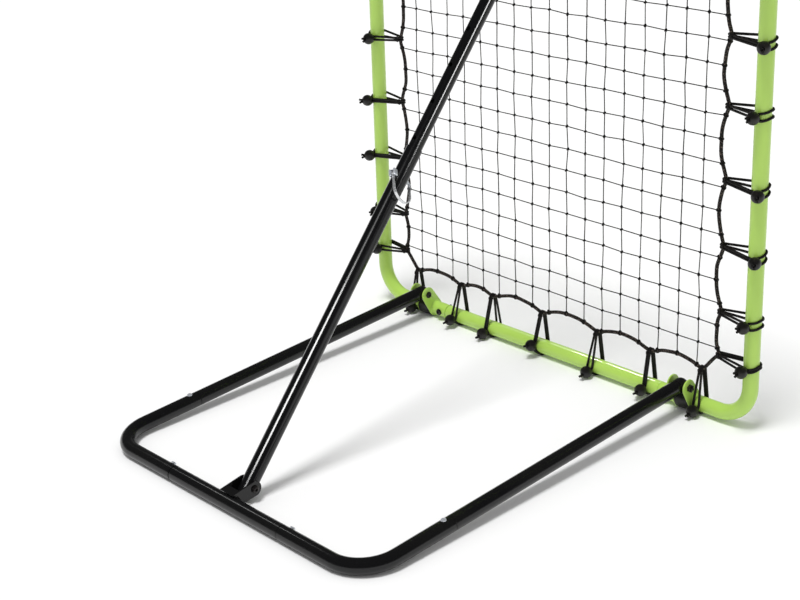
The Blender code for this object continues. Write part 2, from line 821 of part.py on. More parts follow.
green_paint = new_material("green_powder_coat", (0.40, 0.66, 0.12), 0.45)
black_paint = new_material("black_powder_coat", (0.012, 0.012, 0.013), 0.30)
black_gloss = new_material("black_gloss_paint", (0.010, 0.010, 0.012), 0.18)
black_plastic = new_material("black_plastic", (0.018, 0.018, 0.018), 0.50)
black_metal = new_material("black_zinc", (0.025, 0.025, 0.027), 0.35, 0.8)
bright_metal = new_material("zinc_plate", (0.72, 0.73, 0.75), 0.28, 1.0)
spring_steel = new_material("spring_steel", (0.78, 0.79, 0.80), 0.25, 1.0)
black_cord = new_material("black_cord", (0.014, 0.014, 0.014), 0.85)

add_base()
add_strut_foot()

frame_hinge = new_axis("net_frame_hinge", HINGE, FRAME_LEAN)
tube_offset = Matrix.Rotation(-FRAME_LEAN, 3, "X") @ Vector((0, -HINGE_SETBACK, -HINGE_RISE))
net_frame = new_axis("net_frame_plane", tube_offset, 0, frame_hinge)
add_net_frame(net_frame)
add_hinge_brackets(net_frame, (-tube_offset.y, -tube_offset.z))

strut_tilt = math.pi / 2 - STRUT_RISE
foot_hinge = new_axis("strut_foot_hinge", STRUT_FOOT, strut_tilt)
strut_slide = new_axis("strut_slide", (0, 0, 0), 0, foot_hinge)
add_strut(foot_hinge, strut_slide)

strut_top = STRUT_FOOT + Matrix.Rotation(strut_tilt, 3, "X") @ (UP * STRUT_LENGTH)
in_plane = Matrix.Rotation(-FRAME_LEAN, 3, "X") @ (
    strut_top - Vector((0, FRAME_AXIS_Y, FRAME_AXIS_Z))
)
add_top_bracket(net_frame, (in_plane.y, in_plane.z))

pin_axis = new_axis("lock_pin_axis", UP * PIN_HEIGHT, 0, foot_hinge)
bail_axis = new_axis("bail_hinge", (0, PIN_HEAD, 0), 0, pin_axis)
bail_axis.rotation_euler = (0, BAIL_LEAN, 0)
add_lock_pin(pin_axis, bail_axis, PIN_HEAD, BAIL_LEAN)

add_rope(net_frame)
add_net(net_frame)
bpy.context.view_layer.update()
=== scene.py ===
# %% [markdown]
# # A multisport rebounder
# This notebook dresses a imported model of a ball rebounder: a square frame of green tube with a
# knotted net, hinged on a black U-shaped base and propped by a telescopic strut. The packed
# model already says where everything is and how it moves. Here each piece gets its fine shape
# and its finish. We start by loading the model, because all our measures are taken from it.

# %% Load the frame
import json
import math

import bmesh
import bpy
from mathutils import Matrix, Vector, noise


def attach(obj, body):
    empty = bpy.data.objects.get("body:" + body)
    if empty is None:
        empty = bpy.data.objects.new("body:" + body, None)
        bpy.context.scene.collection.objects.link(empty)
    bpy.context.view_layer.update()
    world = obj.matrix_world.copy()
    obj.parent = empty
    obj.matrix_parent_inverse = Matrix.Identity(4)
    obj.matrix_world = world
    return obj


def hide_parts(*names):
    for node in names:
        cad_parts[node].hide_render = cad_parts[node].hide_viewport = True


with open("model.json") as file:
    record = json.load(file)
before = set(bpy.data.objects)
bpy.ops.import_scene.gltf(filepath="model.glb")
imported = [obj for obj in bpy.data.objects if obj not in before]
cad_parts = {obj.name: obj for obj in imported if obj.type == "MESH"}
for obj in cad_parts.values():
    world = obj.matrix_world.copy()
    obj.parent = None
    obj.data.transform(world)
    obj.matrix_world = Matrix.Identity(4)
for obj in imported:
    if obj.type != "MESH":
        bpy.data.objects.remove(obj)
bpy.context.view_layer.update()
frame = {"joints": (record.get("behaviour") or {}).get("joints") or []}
scene = bpy.context.scene
X, Y, Z = Vector((1, 0, 0)), Vector((0, 1, 0)), Vector((0, 0, 1))
HOME = Matrix()
SIDES = ((1, "left"), (-1, "right"))

# %% [markdown]
# ## Where the joints are
# The record holds each joint's place and axis. From these we get the line of the strut, while
# the plane of the net is set by its given lean and the place of its bottom tube. Working in a
# plane of its own keeps the numbers of each piece simple, and one matrix brings it home.

# %% Planes and axes from the joints
joints = {joint["name"]: joint for joint in frame["joints"]}
hinge, strut_foot, bail_pivot = (
    Vector(joints[name]["pos_m"]) for name in ("frame_tilt", "strut_swing", "bail_swing")
)
strut_along = -Vector(joints["strut_slide"]["axis"]).normalized()

frame_lean = math.radians(1.7)
frame_tube_y, frame_tube_z = -0.3856, 0.0191
net_plane = Matrix.Translation((0, frame_tube_y, frame_tube_z)) @ Matrix.Rotation(frame_lean, 4, "X")
strut_rise = math.atan2(strut_along.z, -strut_along.y)
strut_line = Matrix.Translation(strut_foot) @ Matrix.Rotation(math.pi / 2 - strut_rise, 4, "X")
print("the strut rises at", round(math.degrees(strut_rise), 2), "degrees")

# %% [markdown]
# ## The camera
# The camera stands behind the object, to its right and above it. Its lens and its shift were
# found by laying the model's outlines over the picture. A shift moves the picture sideways
# without turning the camera, which keeps upright lines as they are.

# %% Camera
picture_width, picture_height, focal_pixels = 800, 600, 1606.8
axis_pixel_x, axis_pixel_y = 434.12, 258.97
eye = (-2.0054, 1.7755, 1.3616)
heading, pitch, roll = (math.radians(angle) for angle in (47.18, 21.17, -2.79))


def add_object(name, data):
    made = bpy.data.objects.new(name, data)
    scene.collection.objects.link(made)
    return made


camera_data = bpy.data.cameras.new("camera")
camera_data.sensor_width = 36
camera_data.lens = focal_pixels * camera_data.sensor_width / picture_width
camera_data.shift_x = (picture_width / 2 - axis_pixel_x) / picture_width
camera_data.shift_y = (axis_pixel_y - picture_height / 2) / picture_width
camera = add_object("camera", camera_data)
facing = Matrix.Rotation(math.pi + heading, 4, "Z") @ Matrix.Rotation(math.pi / 2 - pitch, 4, "X")
camera.matrix_world = Matrix.Translation(eye) @ facing @ Matrix.Rotation(roll, 4, "Z")
scene.camera = camera
scene.view_settings.view_transform = "Standard"
print("the lens is", round(camera_data.lens, 1), "mm")

# %% [markdown]
# ## Nodes
# The world and the finishes are both made of nodes. One helper makes a node, sets its values
# and joins its inputs. On top of it, two short functions do the sums that both of them need.

# %% Helpers for nodes
def add_node(tree, kind, inputs=None, **settings):
    """A node whose inputs, by name or number, are joined to a socket or set to a value."""
    node = tree.nodes.new(f"ShaderNode{kind}")
    for label, value in settings.items():
        setattr(node, label, value)
    for label, value in (inputs or {}).items():
        if isinstance(value, bpy.types.NodeSocket):
            tree.links.new(value, node.inputs[label])
        else:
            node.inputs[label].default_value = value
    return node


def calculate(tree, operation, first, second):
    """A calculation on two numbers or other nodes' outputs."""
    return add_node(tree, "Math", {0: first, 1: second}, operation=operation).outputs[0]


def between(tree, value, low, high, to_low=0.0, to_high=1.0, curve="LINEAR"):
    """Stretches value from the range low to high onto another, and clamps it."""
    ranges = {"Value": value, "From Min": low, "From Max": high, "To Min": to_low, "To Max": to_high}
    return add_node(tree, "MapRange", ranges, interpolation_type=curve).outputs["Result"]


print("helpers for nodes are ready")

# %% [markdown]
# ## Floor and light
# The object stands on a white sweep under a large soft light, so its shadows lie right under
# its tubes and fade within a hand's breadth. A sun 17 degrees wide gives just that, and it
# lights the far end as much as the near one. It leans towards the camera's side and isn't seen
# in shiny surfaces. The world fills the shadows. Straight from the camera it is pure white, but
# a shiny surface sees white only near the horizon, under a dark ceiling. The lines of light on
# the tubes come from strip lamps, each of which lights only the pieces of one collection.

# %% World
white = (1, 1, 1, 1)
fill_strength, ceiling_strength = 0.497, 0.05
white_below, dark_above = (math.sin(math.radians(angle)) for angle in (1, 9))

world = bpy.data.worlds.new("studio")
world.use_nodes = True
scene.world = world
air = world.node_tree
air.nodes.clear()
ray = add_node(air, "LightPath").outputs
way = add_node(air, "TexCoord").outputs["Generated"]
upward = add_node(air, "SeparateXYZ", {"Vector": way}).outputs["Z"]
fade = between(air, upward, white_below, dark_above, 1, ceiling_strength, "SMOOTHSTEP")
brightness = calculate(air, "MAXIMUM", fade, ray["Is Camera Ray"])
mirrored = calculate(air, "MAXIMUM", ray["Is Glossy Ray"], ray["Is Transmission Ray"])
seen = calculate(air, "MAXIMUM", mirrored, ray["Is Camera Ray"])
fill, backdrop = (
    add_node(air, "Background", {"Color": white, "Strength": strength}).outputs[0]
    for strength in (fill_strength, brightness)
)
choice = add_node(air, "MixShader", {0: seen, 1: fill, 2: backdrop})
add_node(air, "OutputWorld", {"Surface": choice.outputs[0]})
print("the world has", len(air.nodes), "nodes")

# %% Strip lamps
lamp_target = Vector((0, 0, 0.3))


def strip_lamp(name, start, end, width, strength, shine):
    """A long narrow lamp between two points, facing the object, seen only as a highlight."""
    start, end = Vector(start), Vector(end)
    lamp = bpy.data.lights.new(name, "AREA")
    lamp.shape = "RECTANGLE"
    lamp.size, lamp.size_y = (end - start).length, width
    lamp.energy = strength * lamp.size * lamp.size_y * math.pi * 4
    stand = add_object(name, lamp)
    middle, length = (start + end) / 2, (end - start).normalized()
    aside = (middle - lamp_target).normalized().cross(length).normalized()
    turn = Matrix((length, aside, length.cross(aside))).transposed().to_4x4()
    stand.matrix_world = Matrix.Translation(middle) @ turn
    stand.visible_camera = stand.visible_diffuse = False
    stand.light_linking.receiver_collection = shine


strut_shine, bar_shine, sill_shine = (
    bpy.data.collections.new(name) for name in ("strut_shine", "bar_shine", "sill_shine")
)
for row in (
    ("foot_strip", (-0.53, 2.26, 1.58), (-0.53, 1.83, 2.07), 0.90, 9.5, strut_shine),
    ("middle_strip", (-0.53, 1.83, 2.07), (-0.53, 1.58, 2.33), 0.70, 1.1, strut_shine),
    ("upper_strip", (-2.40, 0.03, 1.26), (-2.25, -0.7, 2.1), 0.50, 8.5, strut_shine),
    ("bottom_tube_strip", (0.86, -1.33, 1.66), (1.36, -1.33, 1.66), 0.15, 25, sill_shine),
    ("rear_tube_strip", (1.24, 0.2, 1.5), (1.75, 0.2, 1.5), 0.08, 3.6, bar_shine),
):
    strip_lamp(*row)
print("strip lamps:", [light.name for light in bpy.data.lights])

# %% Sun and floor
sun_strength, sun_width, sun_lean = 1.95, math.radians(17), (math.radians(-13), math.radians(-1.5), 0)
floor_half = 15


def take_mesh(name, bm):
    """Moves a bmesh into a new mesh."""
    mesh = bpy.data.meshes.new(name)
    bm.to_mesh(mesh)
    bm.free()
    return mesh


def plain_material(name, constants):
    """A material with constants on its shader, and that shader."""
    material = bpy.data.materials.new(name)
    material.use_nodes = True
    shader = material.node_tree.nodes["Principled BSDF"]
    for label, value in constants.items():
        shader.inputs[label].default_value = value
    return material, shader


overhead = bpy.data.lights.new("overhead", "SUN")
overhead.energy, overhead.angle = sun_strength, sun_width
overhead_lamp = add_object("overhead", overhead)
overhead_lamp.rotation_euler = sun_lean
overhead_lamp.visible_glossy = False

bm = bmesh.new()
bmesh.ops.create_grid(bm, x_segments=1, y_segments=1, size=floor_half)
floor = add_object("floor", take_mesh("floor", bm))
floor_look = {"Base Color": (0.96, 0.96, 0.96, 1), "Roughness": 0.9, "Specular IOR Level": 0}
floor_paint, _ = plain_material("floor_paint", floor_look)
floor.data.materials.append(floor_paint)
print("lit by", [light.name for light in bpy.data.lights])

# %% [markdown]
# ## Finishes
# Several finishes share an effect, such as the fine orange peel of sprayed paint. Each effect
# is one node group, built once, and every material that needs it sets its own values on the
# group's inputs. A group only puts out what changes over the surface: colour, roughness and
# normal. What is the same all over, such as metallic, is set on the shader itself.

# %% Helpers for node groups
def open_group(name, inputs):
    """A new group with these inputs and their defaults, its inputs' sockets and coordinates."""
    tree = bpy.data.node_groups.new(name, "ShaderNodeTree")
    for label, value in inputs.items():
        kind = "NodeSocketColor" if isinstance(value, tuple) else "NodeSocketFloat"
        tree.interface.new_socket(label, in_out="INPUT", socket_type=kind).default_value = value
    for label, kind in (("Colour", "Color"), ("Roughness", "Float"), ("Normal", "Vector")):
        tree.interface.new_socket(label, in_out="OUTPUT", socket_type=f"NodeSocket{kind}")
    return tree, tree.nodes.new("NodeGroupInput").outputs, add_node(tree, "TexCoord").outputs


def close_group(tree, *results):
    """Joins the colour, the roughness and the normal to the group's outputs."""
    leave = tree.nodes.new("NodeGroupOutput")
    for place, result in enumerate(results):
        tree.links.new(result, leave.inputs[place])
    return tree


def speckle(tree, where, scale, detail=2.0, stretch=None):
    """Noise on the given coordinates, from about 0.3 to 0.7."""
    if stretch:
        where = add_node(tree, "Mapping", {"Vector": where, "Scale": stretch}).outputs["Vector"]
    values = {"Vector": where, "Scale": scale, "Detail": detail}
    return add_node(tree, "TexNoise", values).outputs["Fac"]


def mix_colours(tree, share, first, second):
    node = add_node(tree, "Mix", {"Factor": share, "A": first, "B": second}, data_type="RGBA")
    return next(socket for socket in node.outputs if socket.type == "RGBA")


def raise_surface(tree, height, distance):
    values = {"Strength": 1, "Distance": distance, "Height": height}
    return add_node(tree, "Bump", values).outputs["Normal"]


print("helpers for node groups are ready")

# %% [markdown]
# ### Sprayed paint
# Powder coat flows out to a skin with a faint orange peel: low waves about a millimetre
# across. Over a larger distance its tone wanders a little, and where pieces are handled the
# gloss is dulled in short streaks. Noise at three sizes makes these three things.

# %% Group: sprayed paint
def paint_group():
    tree, given, coordinates = open_group("sprayed_paint", {
        "Colour": (0.5, 0.5, 0.5, 1), "Second Colour": (0.4, 0.4, 0.4, 1), "Roughness": 0.4,
        "Dulled Roughness": 0.5, "Peel Scale": 700.0, "Peel Height": 0.00005,
    })
    where = coordinates["Object"]
    tone = between(tree, speckle(tree, where, 7.0, 3.0), 0.35, 0.7)
    colour = mix_colours(tree, tone, given["Colour"], given["Second Colour"])
    streaks = speckle(tree, where, 60.0, 4.0, (1.0, 0.25, 0.25))
    worn = between(tree, streaks, 0.5, 0.72, given["Roughness"], given["Dulled Roughness"])
    peel = speckle(tree, where, given["Peel Scale"], 1.0)
    return close_group(tree, colour, worn, raise_surface(tree, peel, given["Peel Height"]))


sprayed_paint = paint_group()
print(sprayed_paint.name, "has", len(sprayed_paint.nodes), "nodes")

# %% [markdown]
# ### Moulded plastic and plated metal
# Moulded caps and balls have a fine spark-eroded grain and slightly shinier rubbed spots. Zinc
# plate is bright but never quite even: soft crystals in it reflect a little differently.

# %% Groups: moulded grain and plating
def grain_group():
    tree, given, coordinates = open_group("moulded_grain", {
        "Colour": (0.02, 0.02, 0.02, 1), "Dusty Colour": (0.04, 0.04, 0.04, 1),
        "Roughness": 0.5, "Grain Height": 0.0001,
    })
    where = coordinates["Object"]
    dust = between(tree, speckle(tree, where, 90.0, 4.0), 0.45, 0.7)
    colour = mix_colours(tree, dust, given["Colour"], given["Dusty Colour"])
    rubbed = between(tree, speckle(tree, where, 35.0, 2.0), 0.3, 0.7, -0.08, 0.08)
    roughness = calculate(tree, "ADD", given["Roughness"], rubbed)
    grain = speckle(tree, where, 1800.0, 2.0)
    return close_group(tree, colour, roughness, raise_surface(tree, grain, given["Grain Height"]))


def plating_group():
    tree, given, coordinates = open_group("plating", {
        "Colour": (0.7, 0.7, 0.7, 1), "Dull Colour": (0.5, 0.5, 0.5, 1), "Roughness": 0.3,
    })
    where = coordinates["Object"]
    cells = add_node(tree, "TexVoronoi", {"Vector": where, "Scale": 450.0}).outputs["Color"]
    crystal = add_node(tree, "SeparateColor", {"Color": cells}).outputs
    colour = mix_colours(tree, crystal["Red"], given["Colour"], given["Dull Colour"])
    uneven = between(tree, crystal["Green"], 0.0, 1.0, -0.06, 0.08)
    roughness = calculate(tree, "ADD", given["Roughness"], uneven)
    scratches = speckle(tree, where, 500.0, 3.0, (1.0, 0.1, 1.0))
    return close_group(tree, colour, roughness, raise_surface(tree, scratches, 0.00002))


moulded_grain, plating = grain_group(), plating_group()
print("grain and plating are ready")

# %% [markdown]
# ### Cord
# The border rope and the elastic loops are plaited: strands run round the core both ways and
# pass over and under each other. A cord made from a bevelled curve has a UV map whose first
# axis runs along it and whose second runs round it, so two sets of slanted ridges, taken in
# turn, give the plait. The same ridges paint shade into the gaps between the strands, and
# light flecks scattered by noise are painted glints on the fibres.

# %% Group: plaited cord
def plait_group():
    tree, given, coordinates = open_group("plaited_cord", {
        "Colour": (0.02, 0.02, 0.02, 1), "Painted Gap Shade": (0.004, 0.004, 0.004, 1),
        "Painted Glint Colour": (0.05, 0.04, 0.035, 1), "Turns": 40.0, "Strands": 4.0,
        "Ridge Height": 0.0004, "Roughness": 0.8,
    })
    where = coordinates["Object"]
    uv = add_node(tree, "SeparateXYZ", {"Vector": coordinates["UV"]}).outputs
    along = calculate(tree, "MULTIPLY", uv["X"], given["Turns"])
    around = calculate(tree, "MULTIPLY", uv["Y"], given["Strands"])
    right, left = (
        calculate(tree, "PINGPONG", calculate(tree, operation, along, around), 0.5)
        for operation in ("ADD", "SUBTRACT")
    )
    ridges = calculate(tree, "MULTIPLY", calculate(tree, "MAXIMUM", right, left), 2.0)
    # painted shade: the gap colour darkens the cord where the ridges fall low, between the strands
    strands = mix_colours(tree, between(tree, ridges, 0.4, 0.9), given["Painted Gap Shade"], given["Colour"])
    # painted glints: light flecks scattered by noise over the fibres
    painted_glints = between(tree, speckle(tree, where, 420.0, 1.0), 0.56, 0.66)
    colour = mix_colours(tree, painted_glints, strands, given["Painted Glint Colour"])
    fuzz = speckle(tree, where, 2500.0, 3.0)
    roughness = calculate(
        tree, "ADD", given["Roughness"], between(tree, fuzz, 0.3, 0.7, -0.1, 0.1)
    )
    rough_ridges = calculate(tree, "ADD", ridges, calculate(tree, "MULTIPLY", fuzz, 0.4))
    normal = raise_surface(tree, rough_ridges, given["Ridge Height"])
    return close_group(tree, colour, roughness, normal)


plaited_cord = plait_group()
print("the plait is ready")

# %% [markdown]
# ## The materials
# A finish is a shader with its own constants, and a group that feeds its colour, roughness and
# normal. One function puts these together, so that each finish below is a short list of
# values, in the order of its group's inputs. The green is a lime powder coat, the base a
# semi-gloss black and the strut a glossier black. A black surface is judged by what it mirrors,
# so its specular level matters most.


def finish(name, group, values, metallic=0, specular=0.5, coat=0, coat_roughness=0.1):
    material, shader = plain_material(name, {
        "Metallic": metallic, "Specular IOR Level": specular, "Coat Weight": coat,
        "Coat Roughness": coat_roughness,
    })
    tree = material.node_tree
    effect = tree.nodes.new("ShaderNodeGroup")
    effect.node_tree = group
    for socket, value in zip(effect.inputs, values):
        socket.default_value = (*value, 1) if isinstance(value, tuple) else value
    for result, target in (("Colour", "Base Color"), ("Roughness", "Roughness"), ("Normal", "Normal")):
        tree.links.new(effect.outputs[result], shader.inputs[target])
    return material


green_coat = finish(
    "lime_powder_coat", sprayed_paint,
    ((0.475, 0.735, 0.130), (0.455, 0.705, 0.122), 0.30, 0.42, 420, 0.00002),
    specular=0.3, coat=0.5, coat_roughness=0.05,
)
black_coat = finish(
    "black_powder_coat_finish", sprayed_paint,
    ((0.005, 0.005, 0.0055), (0.007, 0.007, 0.007), 0.16, 0.24, 520, 0.00006), specular=0.38,
)
black_gloss = finish(
    "gloss_black_enamel", sprayed_paint,
    ((0.004, 0.004, 0.0045), (0.005, 0.005, 0.0055), 0.14, 0.17, 380, 0.000002), specular=0.38,
)
black_moulding = finish(
    "black_moulding", moulded_grain,
    ((0.007, 0.007, 0.007), (0.013, 0.012, 0.011), 0.40, 0.00006), specular=0.35,
)
ball_moulding = finish(
    "ball_moulding", moulded_grain,
    ((0.008, 0.0075, 0.007), (0.016, 0.014, 0.012), 0.38, 0.0001), specular=0.4,
)
dark_plate = finish(
    "black_zinc_plate", plating,
    ((0.045, 0.04, 0.038), (0.02, 0.018, 0.018), 0.28), metallic=0.7, specular=0.4,
)
bright_plate = finish(
    "bright_zinc_plate", plating,
    ((0.78, 0.81, 0.86), (0.58, 0.61, 0.66), 0.3), metallic=0.55,
)
polished_spring = finish(
    "polished_spring_steel", plating,
    ((0.80, 0.81, 0.82), (0.68, 0.69, 0.71), 0.22), metallic=0.75,
)

# %% [markdown]
# ## Tools for tubes
# Nearly everything here is a tube. A tube begins as a ring of edges. The ring is carried on
# along a straight by an extrusion, and round a bend by a spin, and it may grow or shrink on
# the way, as where a tube's end is drawn down to plug into its neighbour. That leaves an open
# skin, so a Solidify modifier then gives the wall, and a small Bevel breaks its sharp rims.

# %% Rings, straights and bends
TUBE_SIDES, ROUND = 48, 36
WELD = 0.000002


def only(kind, items):
    return [item for item in items if isinstance(item, kind)]


def aimed(at, along):
    """The matrix that turns Z along a direction, at a place."""
    return Matrix.Translation(at) @ along.to_track_quat("Z", "Y").to_matrix().to_4x4()


def evenly(start, end, steps):
    """Evenly spaced values from start to end, both of them included."""
    return [start + (end - start) * step / steps for step in range(steps + 1)]


def edges_of(verts):
    return list(dict.fromkeys(edge for vert in verts for edge in vert.link_edges))


def ring_at(bm, centre, along, radius, sides=TUBE_SIDES):
    """A circle of edges round the centre, square to along."""
    made = bmesh.ops.create_circle(
        bm, cap_ends=False, segments=sides, radius=radius, matrix=aimed(centre, along)
    )
    return edges_of(made["verts"])


def carry(bm, ring, step, grow=1.0):
    """Extrudes the ring by a step, and opens or closes its far end."""
    made = bmesh.ops.extrude_edge_only(bm, edges=ring)["geom"]
    verts = only(bmesh.types.BMVert, made)
    bmesh.ops.translate(bm, vec=step, verts=verts)
    if grow != 1.0:
        centre = sum((vert.co for vert in verts), Vector()) / len(verts)
        bmesh.ops.scale(
            bm, vec=(grow, grow, grow), space=Matrix.Translation(-centre), verts=verts
        )
    return [edge for edge in only(bmesh.types.BMEdge, made) if edge.is_boundary]


def carry_through(bm, start, along, profile, sides=TUBE_SIDES):
    """Carries a ring through (radius, distance) points along a straight; gives both its ends."""
    radius, distance = profile[0]
    first = ring = ring_at(bm, start + along * distance, along, radius, sides)
    for next_radius, next_distance in profile[1:]:
        ring = carry(bm, ring, along * (next_distance - distance), next_radius / radius)
        radius, distance = next_radius, next_distance
    return first, ring


def bend(bm, ring, centre, axis, angle, steps=20):
    """Spins the ring round a centre, as a tube bender does."""
    made = bmesh.ops.spin(
        bm, geom=ring, cent=centre, axis=axis, angle=angle, steps=steps, use_merge=False,
        use_duplicate=False,
    )
    return only(bmesh.types.BMEdge, made["geom_last"])


print("tubes have", TUBE_SIDES, "sides")

# %% [markdown]
# ## Tools for pieces
# A finished piece sits at the origin with its place in its mesh, rides on one body of the
# model, and stands for the model's own plain solid. Normals are made to point outwards before
# a wall gets its thickness. A hole is cut with a Boolean whose result then becomes the mesh,
# so that no cutter is left behind.

# %% Finishing a piece
PIECE_SHARP, RIM = 35, 0.0004


def dress(name, mesh, material, body, nodes=(), sharp=PIECE_SHARP):
    """Makes a mesh into a piece."""
    mesh.materials.clear()
    mesh.materials.append(material)
    mesh.shade_smooth()
    mesh.set_sharp_from_angle(angle=math.radians(sharp))
    piece = add_object(name, mesh)
    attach(piece, body)
    if nodes:
        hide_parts(*nodes)
    return piece


def finish_piece(name, bm, material, body, nodes=(), place=HOME, sharp=PIECE_SHARP):
    bmesh.ops.remove_doubles(bm, verts=bm.verts, dist=WELD)
    bmesh.ops.recalc_face_normals(bm, faces=bm.faces)
    bm.transform(place)
    return dress(name, take_mesh(name, bm), material, body, nodes, sharp)


def soften(piece, width=RIM, segments=2):
    """Breaks the sharp edges, so that they catch the light."""
    edge = piece.modifiers.new("edge", "BEVEL")
    edge.width, edge.segments = width, segments
    edge.limit_method, edge.angle_limit = "ANGLE", math.radians(40)
    edge.harden_normals = False
    return piece


print("edges under", PIECE_SHARP, "degrees are shaded smooth")

# %% Cutting and joining
def final_mesh(guide):
    """What an object's modifiers or its curve give, as a mesh."""
    graph = bpy.context.evaluated_depsgraph_get()
    return bpy.data.meshes.new_from_object(guide.evaluated_get(graph))


def discard(tool):
    mesh = tool.data
    bpy.data.objects.remove(tool)
    bpy.data.meshes.remove(mesh)


def carve(piece, bm, place=HOME, operation="DIFFERENCE"):
    """Cuts the shape in bm out of the piece, or joins it on."""
    bmesh.ops.recalc_face_normals(bm, faces=bm.faces)
    bm.transform(place)
    cutter = add_object("cutter", take_mesh("cutter", bm))
    cut = piece.modifiers.new("cut", "BOOLEAN")
    cut.operation, cut.object = operation, cutter
    old, mesh = piece.data, final_mesh(piece)
    piece.modifiers.clear()
    piece.data = mesh
    bpy.data.meshes.remove(old)
    discard(cutter)
    mesh.name = piece.name
    mesh.shade_smooth()
    mesh.set_sharp_from_angle(angle=math.radians(PIECE_SHARP))
    return piece


def through(at, reach, radius):
    """A round hole or bar that reaches equally far to both sides of its middle."""
    return at - reach, at + reach, radius


def rods(bars, sides=24):
    """Closed round bars, each given by its start, its end and its radius."""
    bm = bmesh.new()
    for start, end, radius in bars:
        bmesh.ops.create_cone(
            bm, cap_ends=True, segments=sides, radius1=radius, radius2=radius,
            depth=(end - start).length, matrix=aimed((start + end) / 2, end - start),
        )
    return bm


def block(size, middle):
    bm = bmesh.new()
    place = Matrix.Translation(middle) @ Matrix.Diagonal((*size, 1))
    bmesh.ops.create_cube(bm, size=1, matrix=place)
    return bm


def drill(piece, holes, place=HOME):
    return carve(piece, rods(holes), place)


print("cutters are ready")

# %% [markdown]
# ## The green frame
# The frame is four lengths of tube. The two sides are bent to a C, corners and all, and the
# straight top and bottom tubes have ends drawn down to slide into them. A spin of the ring
# makes each corner, with the same 65 mm radius as a tube bender's die.

# %% Side tubes of the frame
frame_span, frame_tube_r, frame_bend_r = 0.971, 0.0147, 0.065
tube_wall, plug_r, plug_length, shoulder = 0.0015, 0.0128, 0.038, 0.0018
frame_seam_x, frame_bolt_x, seam_gap, bolt_hole_r = 0.287, 0.303, 0.0003, 0.0044
LEVELS = (("bottom", 0), ("top", frame_span))


def walled_tube(name, skin, material, body, node, holes, place=HOME, thickness=tube_wall):
    """A piece with a wall and holes, from the skin of a tube."""
    tube = finish_piece(name, skin, material, body, [node], place)
    wall = tube.modifiers.new("wall", "SOLIDIFY")
    wall.thickness, wall.offset, wall.use_even_offset = thickness, -1, True
    return drill(tube, holes, place)


def green_tube(name, skin, node, bolts):
    """A tube of the frame with holes for its two joint bolts."""
    holes = [through(X * x + Z * height, Y * frame_tube_r * 1.5, bolt_hole_r) for x, height in bolts]
    return soften(walled_tube(name, skin, green_coat, "net_frame", node, holes, net_plane))


for side, word in SIDES:
    bm = bmesh.new()
    out, seam, corner = X * side, frame_seam_x + seam_gap, frame_span / 2 - frame_bend_r
    ring = ring_at(bm, out * seam, out, frame_tube_r)
    ring = carry(bm, ring, out * (corner - seam))
    ring = bend(bm, ring, out * corner + Z * frame_bend_r, Y, -side * math.pi / 2)
    ring = carry(bm, ring, Z * (frame_span - 2 * frame_bend_r))
    ring = bend(bm, ring, out * corner + Z * (frame_span - frame_bend_r), Y, -side * math.pi / 2)
    carry(bm, ring, -out * (corner - seam))
    bolts = [(side * frame_bolt_x, height) for _, height in LEVELS]
    tube = green_tube(f"side_tube_{word}", bm, f"frame_side_{word}", bolts)
print("a side tube has", len(tube.data.polygons), "faces")

# %% Top and bottom tubes with drawn ends
def plugged_tube(start, end, radius, neck_r, both_ends=True):
    """The skin of a straight tube that is drawn down at its start, or at both of its ends."""
    length = (end - start).length
    profile = [(neck_r, -plug_length), (neck_r, 0), (radius, shoulder)]
    if both_ends:
        profile += [(radius, length - shoulder), (neck_r, length), (neck_r, length + plug_length)]
    else:
        profile.append((radius, length))
    bm = bmesh.new()
    carry_through(bm, start, (end - start).normalized(), profile)
    return bm


for level, height in LEVELS:
    start, end = Vector((-frame_seam_x, 0, height)), Vector((frame_seam_x, 0, height))
    skin = plugged_tube(start, end, frame_tube_r, plug_r)
    bolts = [(side * frame_bolt_x, height) for side, _ in SIDES]
    tube = green_tube(f"{level}_tube", skin, f"frame_{level}_tube", bolts)
    if level == "bottom":
        sill_shine.objects.link(tube)
    print(tube.name, len(tube.data.polygons), "faces")

# %% [markdown]
# ## The black base
# Three sides of a rectangle lie on the floor: a rear tube, two bent corner tubes, and two legs
# that rise a little towards the hinges. The corners are made like the frame's, but the second
# half of each bend also climbs, so the ring is spun about an axis that leans with the leg.

# %% Base sizes
base_tube_r, base_plug_r, base_bend_r = 0.014, 0.0119, 0.072
leg_x, rear_y, rear_z = 0.347, 0.4227, 0.0141
base_seam_x, base_screw_x, corner_arm, leg_screw_arm = 0.151, 0.166, 0.1926, 0.1776
cap_barrel, screw_hole_r, screw_reach = 0.012, 0.0023, 0.008

rear_bar = Vector((0, rear_y, rear_z))
knuckles = {word: Vector((side * leg_x, hinge.y, hinge.z)) for side, word in SIDES}
leg_run = Vector((0, hinge.y - rear_y, hinge.z - rear_z)).normalized()
leg_top = X.cross(leg_run) * -1
print("the legs rise", round(math.degrees(math.atan2(leg_run.z, -leg_run.y)), 2), "degrees")

# %% Base tubes
def joint_screws(side):
    """The two screw places of one corner: on the rear tube and on the leg, with their way out."""
    slant = (Z - Y).normalized()
    on_bar = rear_bar + X * side * base_screw_x + slant * base_tube_r
    on_leg = rear_bar + X * side * leg_x + leg_run * leg_screw_arm + leg_top * base_tube_r
    return {"rear": (on_bar, slant), "leg": (on_leg, leg_top)}


def base_tube(name, skin, node, *screws):
    """A tube of the base with holes for screws, each given by its side and its place's name."""
    spots = [joint_screws(side)[joint] for side, joint in screws]
    holes = [through(at, out * screw_reach, screw_hole_r) for at, out in spots]
    return soften(walled_tube(name, skin, black_coat, "base", node, holes))


